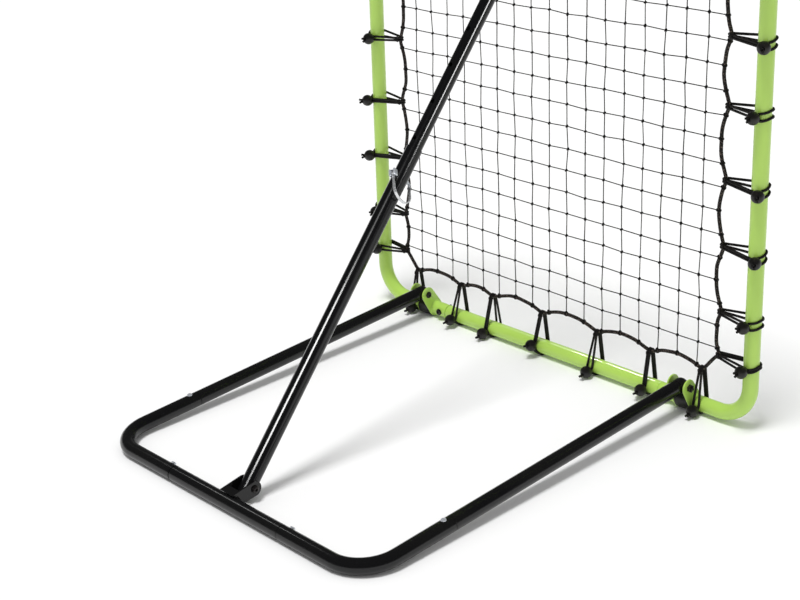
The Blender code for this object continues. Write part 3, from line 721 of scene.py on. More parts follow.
for side, word in SIDES:
    bm = bmesh.new()
    out, corner = X * side, rear_bar + X * side * leg_x
    seam, bend_start = rear_bar + out * (base_seam_x + seam_gap), corner - out * base_bend_r
    ring = ring_at(bm, seam, out, base_tube_r)
    ring = carry(bm, ring, bend_start - seam)
    ring = bend(bm, ring, bend_start + leg_run * base_bend_r, out.cross(leg_run), math.pi / 2)
    carry(bm, ring, leg_run * (corner_arm - base_bend_r))
    bar_shine.objects.link(
        base_tube(f"corner_tube_{word}", bm, f"base_corner_{word}", (side, "rear"), (side, "leg"))
    )
    leg_start = corner + leg_run * (corner_arm + seam_gap)
    leg_end = knuckles[word] - leg_run * cap_barrel
    skin = plugged_tube(leg_start, leg_end, base_tube_r, base_plug_r, both_ends=False)
    base_tube(f"leg_tube_{word}", skin, f"base_leg_{word}", (side, "leg"))

bar_start, bar_end = rear_bar - X * base_seam_x, rear_bar + X * base_seam_x
skin = plugged_tube(bar_start, bar_end, base_tube_r, base_plug_r)
rear_tube = base_tube("rear_tube", skin, "base_rear_tube", (1, "rear"), (-1, "rear"))
bar_shine.objects.link(rear_tube)

# %% [markdown]
# ## Screws, bolts and nuts
# A bolt is a ring that is carried up its shank, out under the head and over the crown. The
# hexagon socket starts as a circle of six sides, and each side is divided in six, so that the
# crown's 36-sided ring can be bridged to it without a twist. Small screws are turned shapes: a
# profile of a few points, spun once round and merged at the seam and at the poles.

# %% Button-head bolt
bolt_r, bolt_chamfer, bolt_spare, seat_skip = 0.004, 0.0006, 0.003, 0.0003
head_r, under_head_r, rim_low, rim_high = 0.007, 0.00672, 0.0003, 0.001
crown_r, head_height, crown_steps = 0.0034, 0.0042, 7
socket_r, socket_rim, socket_depth = 0.0029, 0.0002, 0.0022


def hexagon_at(bm, height, corner_r):
    """A hexagon of edges, each side in six, to bridge to a round ring."""
    sides = ring_at(bm, Z * height, Z, corner_r, 6)
    cut = bmesh.ops.subdivide_edges(bm, edges=sides, cuts=ROUND // 6 - 1)
    return list(dict.fromkeys(sides + only(bmesh.types.BMEdge, cut["geom_split"])))


def button_bolt(length):
    """A bolt along Z with its seat at zero and its head above."""
    bm = bmesh.new()
    profile = [
        (bolt_r - bolt_chamfer, -length), (bolt_r, bolt_chamfer - length), (bolt_r, 0),
        (under_head_r, 0), (head_r, rim_low), (head_r, rim_high),
    ]
    for turn in evenly(0, math.pi / 2, crown_steps)[1:]:
        width = crown_r + (head_r - crown_r) * math.cos(turn)
        profile.append((width, rim_high + (head_height - rim_high) * math.sin(turn)))
    tip, crown = carry_through(bm, Vector(), Z, profile, ROUND)
    socket = hexagon_at(bm, head_height - socket_rim, socket_r)
    bmesh.ops.bridge_loops(bm, edges=crown + socket)
    for end in (tip, carry(bm, socket, Z * -socket_depth)):
        bmesh.ops.edgeloop_fill(bm, edges=end)
    return bm


print("a bolt's head is", head_r * 2000, "mm wide")

# %% Nut
nut_flats, nut_height, nut_chamfer, nut_face_share = 0.013, 0.006, 0.0005, 0.93
bore_r, bore_mouth_r, bore_chamfer = 0.0044, 0.0049, 0.0008


def hex_nut():
    """A nut with a bevel on its faces and in its bore, its middle at the origin."""
    bm = bmesh.new()
    top, corner_r = nut_height / 2, nut_flats / math.sqrt(3)
    face_r, low, bore_low = corner_r * nut_face_share, top - nut_chamfer, top - bore_chamfer
    outside = ((top, face_r), (low, corner_r), (-low, corner_r), (-top, face_r))
    inside = ((-top, bore_mouth_r), (-bore_low, bore_r), (bore_low, bore_r), (top, bore_mouth_r))
    loops = [hexagon_at(bm, height, radius) for height, radius in outside]
    loops += [ring_at(bm, Z * height, Z, radius, ROUND) for height, radius in inside]
    for first, second in zip(loops, loops[1:] + loops[:1]):
        bmesh.ops.bridge_loops(bm, edges=first + second)
    return bm


print("a nut is", nut_flats * 1000, "mm across its flats")

# %% Bolts and nuts of the frame
def bolt_and_nut(name, body, seat, out, grip, place=HOME):
    """A bolt with its head towards out, and a nut on its far end."""
    nut_at = seat - out * (grip + seat_skip + nut_height / 2)
    for shape, bm, at, node in (
        ("button_bolt", button_bolt(grip + nut_height + bolt_spare), seat + out * seat_skip, "bolt"),
        ("hex_nut", hex_nut(), nut_at, "nut"),
    ):
        finish_piece(
            f"{name}_{shape}", bm, dark_plate, body, [f"{name}_{node}"], place @ aimed(at, out), 30
        )


for level, height in LEVELS:
    for side, word in SIDES:
        seat = Vector((side * frame_bolt_x, frame_tube_r, height))
        bolt_and_nut(f"frame_{level}_{word}", "net_frame", seat, Y, 2 * frame_tube_r, net_plane)
print("one bolt has", len(bpy.data.meshes["frame_top_left_button_bolt"].polygons), "faces")

# %% Turned shapes
def vertex(bm, point):
    return bmesh.ops.create_vert(bm, co=point)["vert"][0]


def spin_shut(bm, geom, centre, axis, steps):
    """Spins a line or a ring once round, and joins its end to its start."""
    bmesh.ops.spin(
        bm, geom=geom, cent=centre, axis=axis, angle=math.tau, steps=steps, use_merge=True,
        use_duplicate=False,
    )


def revolve(points, axis, steps):
    """Spins a line through points round an axis through the origin."""
    bm = bmesh.new()
    vert = vertex(bm, points[0])
    for point in points[1:]:
        vert = bmesh.ops.extrude_vert_indiv(bm, verts=[vert])["verts"][0]
        vert.co = point
    spin_shut(bm, bm.verts[:] + bm.edges[:], (0, 0, 0), axis, steps)
    bmesh.ops.remove_doubles(bm, verts=bm.verts, dist=WELD)
    return bm


def turned(profile, sides):
    """Turns (radius, height) points round Z."""
    return revolve([(radius, 0, height) for radius, height in profile], Z, sides)


print("turned shapes are ready")

# %% Small joint screws
screw_head_r, screw_head, screw_shank_r, screw_shank = 0.0050, 0.0030, 0.0018, 0.006
recess_width, recess_length, recess_height, recess_lift = 0.0008, 0.0038, 0.0026, 0.0003
screw_profile = (
    (0, screw_head), (screw_head_r * 0.55, screw_head * 0.95),
    (screw_head_r * 0.85, screw_head * 0.7), (screw_head_r, screw_head * 0.3), (screw_head_r, 0),
    (screw_shank_r, 0), (screw_shank_r, -screw_shank), (0, -screw_shank),
)

for side, word in SIDES:
    for joint, (at, out) in joint_screws(side).items():
        place = aimed(at + out * seat_skip, out)
        screw = finish_piece(
            f"{joint}_pan_screw_{word}", turned(screw_profile, 32), bright_plate, "base",
            [f"{joint}_joint_screw_{word}"], place,
        )
        for bar in (X, Y):
            size = Vector((recess_width, recess_width, recess_height))
            size += bar * (recess_length - recess_width)
            carve(screw, block(size, Z * (screw_head + recess_lift)), place)
print("a screw has", len(screw.data.polygons), "faces")

# %% [markdown]
# ## The hinges
# Two green plates a leg hang on the bottom tube and reach up to the pivot bolt. Each is a strap
# round two circles: two arcs, each a point spun round its centre, joined by straight edges,
# filled round its holes, and given thickness. A weld runs round the tube on the plates' far
# sides. Between the plates sits a black sleeve, flat underneath, on which the frame stands.

# %% Flat straps with round holes
def arc(bm, centre, start, angle, steps):
    """Spins a point about X round the centre, and gives the arc's first and last vertex."""
    vert = vertex(bm, start)
    made = bmesh.ops.spin(
        bm, geom=[vert], cent=centre, axis=X, angle=angle, steps=steps, use_merge=False,
        use_duplicate=False,
    )
    return vert, only(bmesh.types.BMVert, made["geom_last"])[0]


def thicken(bm, width):
    """Fills the outline in the plane x = 0 round its holes, and gives it a width along X."""
    bmesh.ops.triangle_fill(bm, use_beauty=True, use_dissolve=False, edges=bm.edges[:])
    made = bmesh.ops.extrude_face_region(bm, geom=bm.faces[:])["geom"]
    bmesh.ops.translate(bm, vec=X * width, verts=only(bmesh.types.BMVert, made))
    bmesh.ops.translate(bm, vec=X * -width / 2, verts=bm.verts)
    return bm


def flat_strap(low, low_r, high, high_r, holes, thickness, steps=28):
    """A strap round two circles in the plane x = 0, with round holes."""
    bm = bmesh.new()
    way = high - low
    spread = math.acos((low_r - high_r) / way.length)
    out, back = (Matrix.Rotation(turn, 3, "X") @ way.normalized() for turn in (spread, -spread))
    near_start, near_end = arc(bm, low, low + out * low_r, math.tau - 2 * spread, steps)
    far_start, far_end = arc(bm, high, high + back * high_r, 2 * spread, steps)
    bm.edges.new((near_end, far_start))
    bm.edges.new((far_end, near_start))
    for centre, radius in holes:
        ring_at(bm, centre, X, radius)
    return thicken(bm, thickness)


print("straps are ready")

# %% Weld beads
bead, bead_sunk, bead_steps, bead_sides = 0.0026, 0.0004, 5, 96
ripple_height, ripple_pitch, ripple_shift = 0.0003, 420, 50


def weld_bead(x, height, out):
    """A rippled fillet between a plate's face and the tube, on the side that out points to."""
    low = frame_tube_r - bead_sunk
    outline = [(0, low, 0), (out * bead, low, 0)]
    for turn in evenly(0, math.pi / 2, bead_steps):
        rise = frame_tube_r + bead * (1 - math.cos(turn))
        outline.append((out * bead * (1 - math.sin(turn)), rise, 0))
    bm = revolve(outline + outline[:1], X, bead_sides)
    for vert in bm.verts:
        ripple = noise.noise(vert.co * ripple_pitch + Vector((x * ripple_shift, 0, height)))
        vert.co += Vector((0, vert.co.y, vert.co.z)).normalized() * ripple * ripple_height
    bmesh.ops.translate(bm, vec=Vector((x, 0, height)), verts=bm.verts)
    return bm


print("a weld bead is", bead * 1000, "mm wide")

# %% Hinge plates and bolts
plate_thickness, plate_x, tube_play = 0.003, 0.0182, 0.0003
tube_lobe_r, hinge_lobe_r, lobe_edge = 0.0182, 0.0162, 0.0006
pivot = net_plane.inverted() @ hinge


def bracket_plate(name, node, x, low, high, weld_side):
    holes = [(low, frame_tube_r + tube_play), (high, bolt_hole_r)]
    bm = flat_strap(low, tube_lobe_r, high, hinge_lobe_r, holes, plate_thickness)
    place = net_plane @ Matrix.Translation(X * x)
    soften(finish_piece(name, bm, green_coat, "net_frame", [node], place), lobe_edge, 3)
    bm = weld_bead(x + weld_side * plate_thickness / 2, low.z, weld_side)
    finish_piece(f"{name}_weld", bm, green_coat, "net_frame", (), net_plane, 60)


for side, word in SIDES:
    for way, place in ((-1, "inner"), (1, "outer")):
        name, node = f"hinge_strap_{word}_{place}", f"hinge_plate_{word}_{place}"
        bracket_plate(name, node, side * (leg_x + way * plate_x), Vector(), pivot, way * side)
    grip = 2 * plate_x + plate_thickness
    seat = Vector((side * (leg_x - grip / 2), pivot.y, pivot.z))
    bolt_and_nut(f"hinge_{word}", "net_frame", seat, X * -side, grip, net_plane)
print("the pivot is", [round(place * 1000, 1) for place in pivot.yz], "mm behind the tube and above it")

# %% Foot sleeves and leg caps
sleeve_width = 2 * (plate_x - plate_thickness / 2 - seat_skip)
heel = math.radians(17)
cap_r, cap_plug_r, cap_plug, cap_reach, dome_steps = 0.0142, 0.0121, 0.022, 0.022, 14


def sleeve_mesh():
    """A round sleeve with a flat under it, level with the floor while the frame leans."""
    bm = bmesh.new()
    down = Matrix.Rotation(-frame_lean, 3, "X") @ (Z * -1)
    back, front = (Matrix.Rotation(turn, 3, "X") @ down for turn in (-heel, heel))
    start, end = arc(bm, Vector(), front * frame_tube_z, math.tau - 2 * heel, 60)
    corners = [vertex(bm, way * frame_tube_z / math.cos(heel)) for way in (back, front)]
    for pair in ((end, corners[0]), corners, (corners[1], start)):
        bm.edges.new(pair)
    ring_at(bm, Vector(), X, frame_tube_r + tube_play)
    return thicken(bm, sleeve_width)


quarter = evenly(0, math.pi / 2, dome_steps)
cap_profile = [(cap_r * math.sin(turn), cap_r * math.cos(turn)) for turn in quarter]
cap_profile += [(cap_r, seat_skip - cap_barrel), (cap_plug_r, seat_skip - cap_barrel)]
cap_profile += [(cap_plug_r, -cap_barrel - cap_plug), (0, -cap_barrel - cap_plug)]
for side, word in SIDES:
    place = net_plane @ Matrix.Translation(X * side * leg_x)
    sleeve = finish_piece(
        f"standing_sleeve_{word}", sleeve_mesh(), black_moulding, "net_frame",
        [f"foot_sleeve_{word}"], place,
    )
    soften(sleeve, 0.0009, 3)
    cap = finish_piece(
        f"domed_cap_{word}", turned(cap_profile, TUBE_SIDES), black_moulding, "base",
        [f"leg_cap_{word}"], aimed(knuckles[word], leg_run),
    )
    soften(drill(cap, [through(knuckles[word], X * cap_reach, bolt_hole_r)]))
print("sleeves and caps are", sleeve_width * 1000, "and", 2 * cap_r * 1000, "mm wide")

# %% [markdown]
# ## The strut's foot
# The bracket is one folded shape that straddles the strut and saddles the rear tube. Its side
# view is an arc over the rear tube and an arc round the foot bolt. We extrude that outline
# across, then cut the saddle, the bolt's hole, and the slot that leaves two ears and a web.

# %% Strut foot bracket
saddle_r, sheet, ear_gap, ear_r, slot_deep_r = 0.0143, 0.003, 0.0152, 0.0138, 0.032
bracket_width, web_r, past_bracket = 2 * (ear_gap + sheet), saddle_r + sheet, X * 0.03


def on_circle(centre, right, up, radius, angle):
    """A point on a circle round the centre, at an angle from right towards up."""
    return centre + right * radius * math.cos(angle) + up * radius * math.sin(angle)


bm = bmesh.new()
nose = on_circle(strut_foot, Y, Z, ear_r, math.radians(75))
back = on_circle(rear_bar, Y, Z, web_r, math.radians(200))
nose_start, nose_end = arc(bm, strut_foot, nose, math.radians(183), 36)
back_start, back_end = arc(bm, rear_bar, back, math.radians(-105), 28)
bm.edges.new((nose_end, back_start))
bm.edges.new((back_end, nose_start))
thicken(bm, bracket_width)
bracket = finish_piece("foot_bracket", bm, black_coat, "base", ["strut_foot_bracket"])
for at, radius in ((rear_bar, saddle_r), (strut_foot, bolt_hole_r)):
    drill(bracket, [through(at, past_bracket, radius)])
between_ears = take_mesh("slot", rods([through(strut_foot, X * ear_gap, slot_deep_r)], 64))
slot_tool = add_object("slot", between_ears)
carve(slot_tool, rods([through(rear_bar, past_bracket, web_r)], 96))
slot_shape = bmesh.new()
slot_shape.from_mesh(slot_tool.data)
discard(slot_tool)
soften(carve(bracket, slot_shape), 0.0006)
bolt_and_nut("strut_foot", "base", strut_foot - X * bracket_width / 2, -X, bracket_width)
print("the bracket has", len(bracket.data.polygons), "faces")

# %% [markdown]
# ## The telescopic strut
# The lower tube pivots at the foot, and the upper tube slides in it. Both are made along a line
# of their own, with Z up the strut, and brought home by the strut's matrix. The upper tube has
# five adjusting holes through both of its walls, and the lock pin stands in the first of them.

# %% Strut tubes
lower_r, upper_r, strut_wall, strut_sides = 0.0148, 0.0130, 0.0012, 64
lower_end, rim_at, upper_start, strut_length, end_lip = -0.0150, 0.6527, 0.512, 1.2134, 0.017
pin_at, hole_pitch, hole_count, pin_r, pin_hole_r = 0.5942, 0.0735, 5, 0.004, 0.0045
slot_r, slot_half, slot_centre = bolt_r + 0.0036, 0.0053, strut_length + 0.0002
foot_reach, pin_reach = 0.022, 0.02


def strut_tube(word, start, end, radius, holes):
    bm = bmesh.new()
    carry_through(bm, Vector(), Z, [(radius, start), (radius, end)], strut_sides)
    tube = walled_tube(
        f"{word}_strut", bm, black_gloss, f"strut_{word}", f"strut_{word}_tube", holes, strut_line,
        strut_wall,
    )
    strut_shine.objects.link(tube)
    return tube


pin_holes = [
    through(Z * (pin_at + index * hole_pitch), Y * pin_reach, pin_hole_r) for index in range(hole_count)
]
foot_hole = through(Vector(), X * foot_reach, bolt_hole_r)
soften(strut_tube("lower", lower_end, rim_at, lower_r, [foot_hole, pin_holes[0]]))
upper_tube = strut_tube("upper", upper_start, strut_length + end_lip, upper_r, pin_holes)
slot_low, slot_high = Z * (slot_centre - slot_half), Z * (slot_centre + slot_half)
soften(carve(upper_tube, flat_strap(slot_low, slot_r, slot_high, slot_r, (), 0.04, 16), strut_line))

top_pivot = net_plane.inverted() @ (strut_foot + strut_along * strut_length)
top_plate_x, top_tube = upper_r + 0.001 + plate_thickness / 2, Z * frame_span
for side, word in SIDES:
    name, node = f"top_strap_{word}", f"top_plate_{word}"
    bracket_plate(name, node, side * top_plate_x, top_tube, top_pivot, side)
grip = 2 * top_plate_x + plate_thickness
top_seat = Vector((-grip / 2, top_pivot.y, top_pivot.z))
bolt_and_nut("strut_top", "net_frame", top_seat, -X, grip, net_plane)
print("the strut's top pivot is", round((top_pivot - top_tube).length * 1000, 1), "mm from the tube")

# %% [markdown]
# ## The lock pin and its spring bail
# The pin's square head is forked, and a rivet through the fork carries a flat spring, bent to
# a U round the strut. The spring's far end has a notch that snaps over the pin's nose. All of
# it is made in the pin's own frame, where Y runs along the pin, away from the strut.

# %% Lock pin head, tip and rivet
head_size, head_depth, head_edge, fork_gap, fork_floor = 0.0135, 0.010, 0.0014, 0.0066, 0.0034
pin_head, head_reach, bail_lean = 0.0206, 0.012, math.radians(37)
rivet_r, rivet_play, nose_r, nose_play, rivet_edge = 0.0012, 0.0003, 0.0017, 0.0004, 0.0004
pin_inner, pin_shoulder, pin_end, pin_sides = 0.0135, -0.0205, -0.0300, 32
pin_frame = strut_line @ Matrix.Translation(Z * pin_at)
head_frame = pin_frame @ Matrix.Translation(Y * pin_head) @ Matrix.Rotation(bail_lean, 4, "Y")
pivot_miss = (head_frame.translation - bail_pivot).length
print("the pin's frame is off the bail's pivot by", round(pivot_miss * 1e6), "microns")

bm = block((head_size, head_depth, head_size), Vector())
bmesh.ops.bevel(
    bm, geom=bm.edges[:], offset=head_edge, offset_type="OFFSET", affect="EDGES", segments=4,
    profile=0.5, material=-1,
)
head = finish_piece("pin_head", bm, bright_plate, "lock_pin", ["lock_pin"], head_frame)
carve(head, block((fork_gap, 0.02, 0.04), Y * (0.01 - fork_floor)), head_frame)
stub = rods([(Y * (pin_inner - pin_head), Y * (0.0008 - head_depth / 2), pin_r)], pin_sides)
carve(head, stub, head_frame, "UNION")
drill(head, [through(Vector(), X * head_reach, rivet_r + rivet_play)], head_frame)
strut_shine.objects.link(soften(head, 0.0003))

tip_profile = (
    (0, -pin_inner), (pin_r, -pin_inner), (pin_r, pin_shoulder), (nose_r, pin_shoulder - 0.0015),
    (nose_r, pin_end + 0.0006), (nose_r * 0.6, pin_end), (0, pin_end),
)
finish_piece(
    "pin_tip", turned(tip_profile, pin_sides), bright_plate, "lock_pin", ["lock_pin_tip"],
    pin_frame @ Matrix.Rotation(-math.pi / 2, 4, "X"),
)
reach = head_size / 2 + 0.0005
rivet_profile = (
    (0, -reach), (rivet_r * 0.8, -reach), (rivet_r, rivet_edge - reach),
    (rivet_r, reach - rivet_edge), (rivet_r * 0.8, reach), (0, reach),
)
finish_piece(
    "fork_rivet", turned(rivet_profile, 24), bright_plate, "lock_pin", ["bail_rivet"],
    head_frame @ Matrix.Rotation(math.pi / 2, 4, "Y"),
)

# %% Spring bail
strip, strip_width, drop, eye_r, lower_arm_end = 0.0014, 0.0048, 0.0265, 0.0028, -0.003
upper_arm_end, eye_inset, bail_reach = 0.002, 0.0002, 0.01
mouth = pin_head - (pin_end + 0.004)
print("the bail's arms are", round(mouth * 1000, 1), "mm apart")


def bail_side():
    """The strip seen from its edge: two arcs and two arms, filled and given the strip's width."""
    bm = bmesh.new()
    turn_centre = Vector((0, -mouth / 2, drop))
    arms = []
    for half in (strip / 2, -strip / 2):
        begin, finish_at = arc(bm, turn_centre, turn_centre + Y * (mouth / 2 + half), math.pi, 32)
        root = vertex(bm, (0, half, upper_arm_end))
        end = vertex(bm, (0, -mouth - half, lower_arm_end))
        bm.edges.new((root, begin))
        bm.edges.new((finish_at, end))
        arms.append((root, end))
    for pair in zip(*arms):
        bm.edges.new(pair)
    return thicken(bm, strip_width)


bail_frame = head_frame @ Matrix.Rotation(math.pi, 4, "Y")
bail = finish_piece(
    "spring_bail", bail_side(), polished_spring, "lock_pin_bail", ["lock_pin_bail"], bail_frame
)
eye = rods([through(Vector(), X * (strip_width / 2 - eye_inset), eye_r)], 40)
carve(bail, eye, bail_frame, "UNION")
drill(bail, [through(Vector(), X * bail_reach, rivet_r + rivet_play)], bail_frame)
carve(bail, rods([through(Y * -mouth, Y * bail_reach, nose_r + nose_play)], 32), bail_frame)
opening = block((2 * (nose_r + nose_play), 0.02, 0.008), Y * -mouth - Z * 0.004)
carve(bail, opening, bail_frame)
strut_shine.objects.link(soften(bail, 0.0003))
print("the bail has", len(bail.data.polygons), "faces")

# %% [markdown]
# ## The border rope
# A rope runs round inside the frame. Every tie pulls it out towards the tube, and in between
# the strings of the net pull it in, so it hangs in shallow bows with a sharp turn at each tie,
# and runs straight across the corners. It is a closed curve with a round section. The curve
# gives the mesh a UV map, along and around, which the plaited material follows. A little noise
# keeps its bows from being too even. That noise gets a seed, so that every run is the same.

# %% Where the ties are
rope_inset, rope_r, rope_bow, corner_bow = 0.069, 0.0035, 0.12, 0.002
# Each tie: its place along its tube, its ball's turn to the rear in degrees from the inner
# side of the tube, how far the ball has slipped along the tube, and the side on which its
# strands part, 1 for the rear, -1 for the front and 0 for neither
bottom_ties = (
    (-0.379, 104, 0, 1), (-0.258, 95, 0.001, 0), (-0.127, 104, 0.006, 1), (0.018, 76, 0.008, 0),
    (0.156, 104, 0.007, -1), (0.248, 95, 0.009, 1), (0.379, 104, 0, 1),
)
top_ties = (
    (-0.379, 116, 0, 1), (-0.255, 105, 0.004, -1), (-0.135, 114, 0.006, -1),
    (0.050, 110, -0.003, 1), (0.148, 112, 0.002, -1), (0.252, 100, 0.005, 1),
    (0.379, 116, 0, -1),
)
side_ties = (
    (0.109, 84, -0.006, 1), (0.193, 84, -0.005, -1), (0.318, 118, -0.007, -1),
    (0.439, 118, -0.007, -1), (0.572, 86, -0.005, -1), (0.694, 115, -0.006, -1),
    (0.796, 100, -0.004, -1), (0.862, 116, -0.006, 1),
)
half_span = frame_span / 2
ties = [("bottom", Vector((x, 0, 0)), Z, X, *rest) for x, *rest in bottom_ties]
ties += [("left", Vector((half_span, 0, s)), -X, Z, *rest) for s, *rest in side_ties]
ties += [("top", Vector((x, 0, frame_span)), -Z, X, *rest) for x, *rest in reversed(top_ties)]
ties += [("right", Vector((-half_span, 0, s)), X, Z, *rest) for s, *rest in reversed(side_ties)]
ties_of = {rim: [tie for tie in ties if tie[0] == rim] for rim in ("bottom", "left", "top", "right")}
print(len(ties), "ties hold the rope")

# %% The rope's line
bow_steps, rope_wander = 18, Vector((0.0022, 0.0010, 0.0022))
noise.seed_set(7)


def rope_points():
    """The rope's middle line in the plane of the net, softened a little at its sharp turns."""
    points = []
    for (rim, tube, inward, *_), (next_rim, next_tube, next_inward, *_) in zip(
        ties, ties[1:] + ties[:1]
    ):
        start, end = tube + inward * rope_inset, next_tube + next_inward * rope_inset
        bow = rope_bow * (end - start).length if rim == next_rim else corner_bow
        way = inward if rim == next_rim else (inward + next_inward).normalized()
        for step in range(bow_steps):
            share = step / bow_steps
            points.append(start.lerp(end, share) + way * bow * 4 * share * (1 - share))
    for _ in range(2):
        points = [
            (before + 2 * here + after) / 4
            for before, here, after in zip(points[-1:] + points[:-1], points, points[1:] + points[:1])
        ]
    return [point + noise.noise_vector(point * 30) * rope_wander for point in points]


rope_line = rope_points()
rope_length = sum((b - a).length for a, b in zip(rope_line, rope_line[1:] + rope_line[:1]))
print("the rope is", round(rope_length, 3), "m long")

# %% Cords and the rope
plait_length = 0.0065


def cord_piece(name, routes, radius, level, closed, cover, nodes=(), sharp=80):
    """A piece of round cords along the routes, with a UV map along and around each."""
    curve = bpy.data.curves.new(name, "CURVE")
    curve.dimensions = "3D"
    curve.bevel_depth, curve.bevel_resolution = radius, level
    curve.use_fill_caps = not closed
    curve.twist_mode = "MINIMUM"
    for route in routes:
        spline = curve.splines.new("POLY")
        spline.points.add(len(route) - 1)
        for spot, point in zip(spline.points, route):
            spot.co = (*point, 1)
        spline.use_cyclic_u = closed
    guide = add_object(name, curve)
    mesh = final_mesh(guide)
    bpy.data.objects.remove(guide)
    bpy.data.curves.remove(curve)
    mesh.name = name
    mesh.transform(net_plane)
    return dress(name, mesh, cover, "net_frame", nodes, sharp)


# The rope's second colour is painted shade in the gaps between its strands, and its third colour paints
# glints on its fibres as light flecks.
rope_cover = finish(
    "plaited_rope", plaited_cord,
    ((0.012, 0.0095, 0.0085), (0.002, 0.002, 0.002), (0.13, 0.10, 0.085),
     rope_length / plait_length, 4, 0.0006, 0.75),
    specular=0.3,
)
rope = cord_piece("plaited_border_rope", [rope_line], rope_r, 4, True, rope_cover, ["border_rope"])
print("the rope has", len(rope.data.polygons), "faces")

# %% [markdown]
# ## Ties
# A tie is a loop of elastic through a ball. From the ball it goes round the tube, over the rope
# and back, so there are two strands side by side on either face. Seen along the tube that is a
# belt round two pulleys: an arc round the tube, an arc round the rope and the two straights
# between. On one face of most ties the strands part to pass the ball on both sides, and on the
# other they lie together.

# %% Elastic strands
tie_cord_r, squeeze, wrap_steps, hitch_steps = 0.0024, 0.0005, 24, 12
strand_gap, parting_gap, parting_turn = tie_cord_r * 1.02, 0.0040, 0.2
# The second colour is painted shade in the gaps between the strands, and the third paints faint glints
# as light flecks.
elastic_cover = finish(
    "braided_elastic", plaited_cord,
    ((0.009, 0.008, 0.0075), (0.002, 0.002, 0.002), (0.022, 0.018, 0.016), 60, 3, 0.0003, 0.7),
    specular=0.35,
)
wrap_r, hitch_r = frame_tube_r + tie_cord_r - squeeze, rope_r + tie_cord_r
spread = math.acos((wrap_r - hitch_r) / rope_inset)


def strand_route(tie, which):
    """One strand of a tie's belt; which is -1 or 1 for its two sides."""
    _, tube, inward, along, turn, slip, parting = tie
    route = []
    for angle in evenly(spread, math.tau - spread, wrap_steps):
        past_ball = angle - math.radians(turn)
        drawn = slip * max(0, math.cos(past_ball))
        parted = 0.5 * (abs(parting) - parting * math.tanh(past_ball / parting_turn))
        aside = along * (drawn + which * (strand_gap + parting_gap * parted))
        route.append(on_circle(tube, inward, Y, wrap_r, angle) + aside)
    hitch, aside = tube + inward * rope_inset, along * which * strand_gap
    for angle in evenly(-spread, spread, hitch_steps):
        route.append(on_circle(hitch, inward, Y, hitch_r, angle) + aside)
    return route


print("the elastic wraps", round(math.degrees(math.tau - 2 * spread)), "degrees of the tube")

# %% Bights and loose ends
tie_ball_r, ball_lift, bight_steps, bight_half, bight_sag = 0.0118, 0.0006, 8, 0.0046, 0.0030
tail_gap, tail_spread, tail_shares = 0.0014, 0.0032, (0.2, 0.6, 0.9, 1.1, 1.25, 1.4, 1.5)


def bight_route(tie):
    """The bight of the hitch, laid over both strands on the rear of the rope."""
    _, tube, inward, along, *_ = tie
    hitch = tube + inward * rope_inset
    route = []
    for swing in evenly(-1, 1, bight_steps):
        lift = rope_r + tie_cord_r * (2.4 - 1.7 * swing * swing)
        sag = inward * bight_sag * (1 - swing * swing)
        route.append(hitch + along * swing * bight_half + Y * lift - sag)
    return route


def ball_place(tie):
    """A tie's ball: its middle, the way out from the tube, and the way along the tube."""
    _, tube, inward, along, turn, slip, _ = tie
    out = on_circle(Vector(), inward, Y, 1, math.radians(turn))
    return tube + out * (frame_tube_r + tie_ball_r + ball_lift) + along * slip, out, along


def tail_route(tie, which):
    """One loose end of the elastic, out of the ball's far side."""
    middle, out, along = ball_place(tie)
    aside = (along * which + out.cross(along) * 0.5 * which).normalized()
    return [
        middle + out * (tie_ball_r * share)
        + aside * (tail_gap + tail_spread * max(0, share - 0.8) ** 1.2)
        for share in tail_shares
    ]


print("a ball's middle is", round((frame_tube_r + tie_ball_r + ball_lift) * 1000, 1), "mm out")

# %% Loops and loose ends of each side
tail_r = tie_cord_r * 0.95
for rim, group in ties_of.items():
    loops = [strand_route(tie, which) for tie in group for which in (-1, 1)]
    cord_piece(f"tie_loops_{rim}", loops, tie_cord_r, 3, True, elastic_cover)
    loose = [bight_route(tie) for tie in group]
    loose += [tail_route(tie, which) for tie in group for which in (-1, 1)]
    cord_piece(f"tie_ends_{rim}", loose, tail_r, 3, False, elastic_cover, sharp=60)
    print(rim, "has", len(loops), "strands and", len(loose), "loose pieces")

# %% Balls
ball_bore_r, ball_mouth_r, ball_steps = 0.0034, 0.0034 * 1.25, 18


def ball_profile():
    """A ball with a bore, rounded where the bore opens, from its middle hole out and back."""
    low = math.asin(ball_mouth_r / tie_ball_r)
    turns = evenly(low, math.pi - low, ball_steps)
    outside = [(tie_ball_r * math.sin(turn), tie_ball_r * math.cos(turn)) for turn in turns]
    depth = tie_ball_r * math.cos(low) - 0.0006
    return [(ball_bore_r, -depth), (ball_bore_r, depth), *outside, (ball_bore_r, -depth)]


def copies(shape, places):
    """A bmesh with a copy of the shape at each place."""
    one, whole = take_mesh("one", shape), bmesh.new()
    for place in places:
        here = one.copy()
        here.transform(place)
        whole.from_mesh(here)
        bpy.data.meshes.remove(here)
    bpy.data.meshes.remove(one)
    return whole


for rim, group in ties_of.items():
    places = [aimed(middle, out) for middle, out, _ in map(ball_place, group)]
    balls = copies(turned(ball_profile(), 28), places)
    finish_piece(f"tie_balls_{rim}", balls, ball_moulding, "net_frame", (), net_plane, 50)
print("a ball is", tie_ball_r * 2000, "mm across")

# %% [markdown]
# ## The net
# The net is knotted cord with square meshes of about 45 mm. Each string is a thin poly curve
# that visits its crossings and runs on to the border rope at both ends. A little noise moves
# every crossing by a millimetre or two, and both strings of a crossing read the same noise, so
# that they still meet. Small lumps for knots hide the bends.

# %% Strings
column_pitch, row_pitch, middle_row = 0.0457, 0.0433, 0.4674
columns, rows = range(-8, 9), range(-9, 9)
string_r, string_parts, net_drift = 0.0010, 3, Vector((0.0036, 0.0012, 0.0030))


def crossing(column, row):
    place = Vector((column * column_pitch, 0, middle_row - row * row_pitch))
    return place + noise.noise_vector(Vector((column * 0.83, row * 0.71, 3.1))) * net_drift


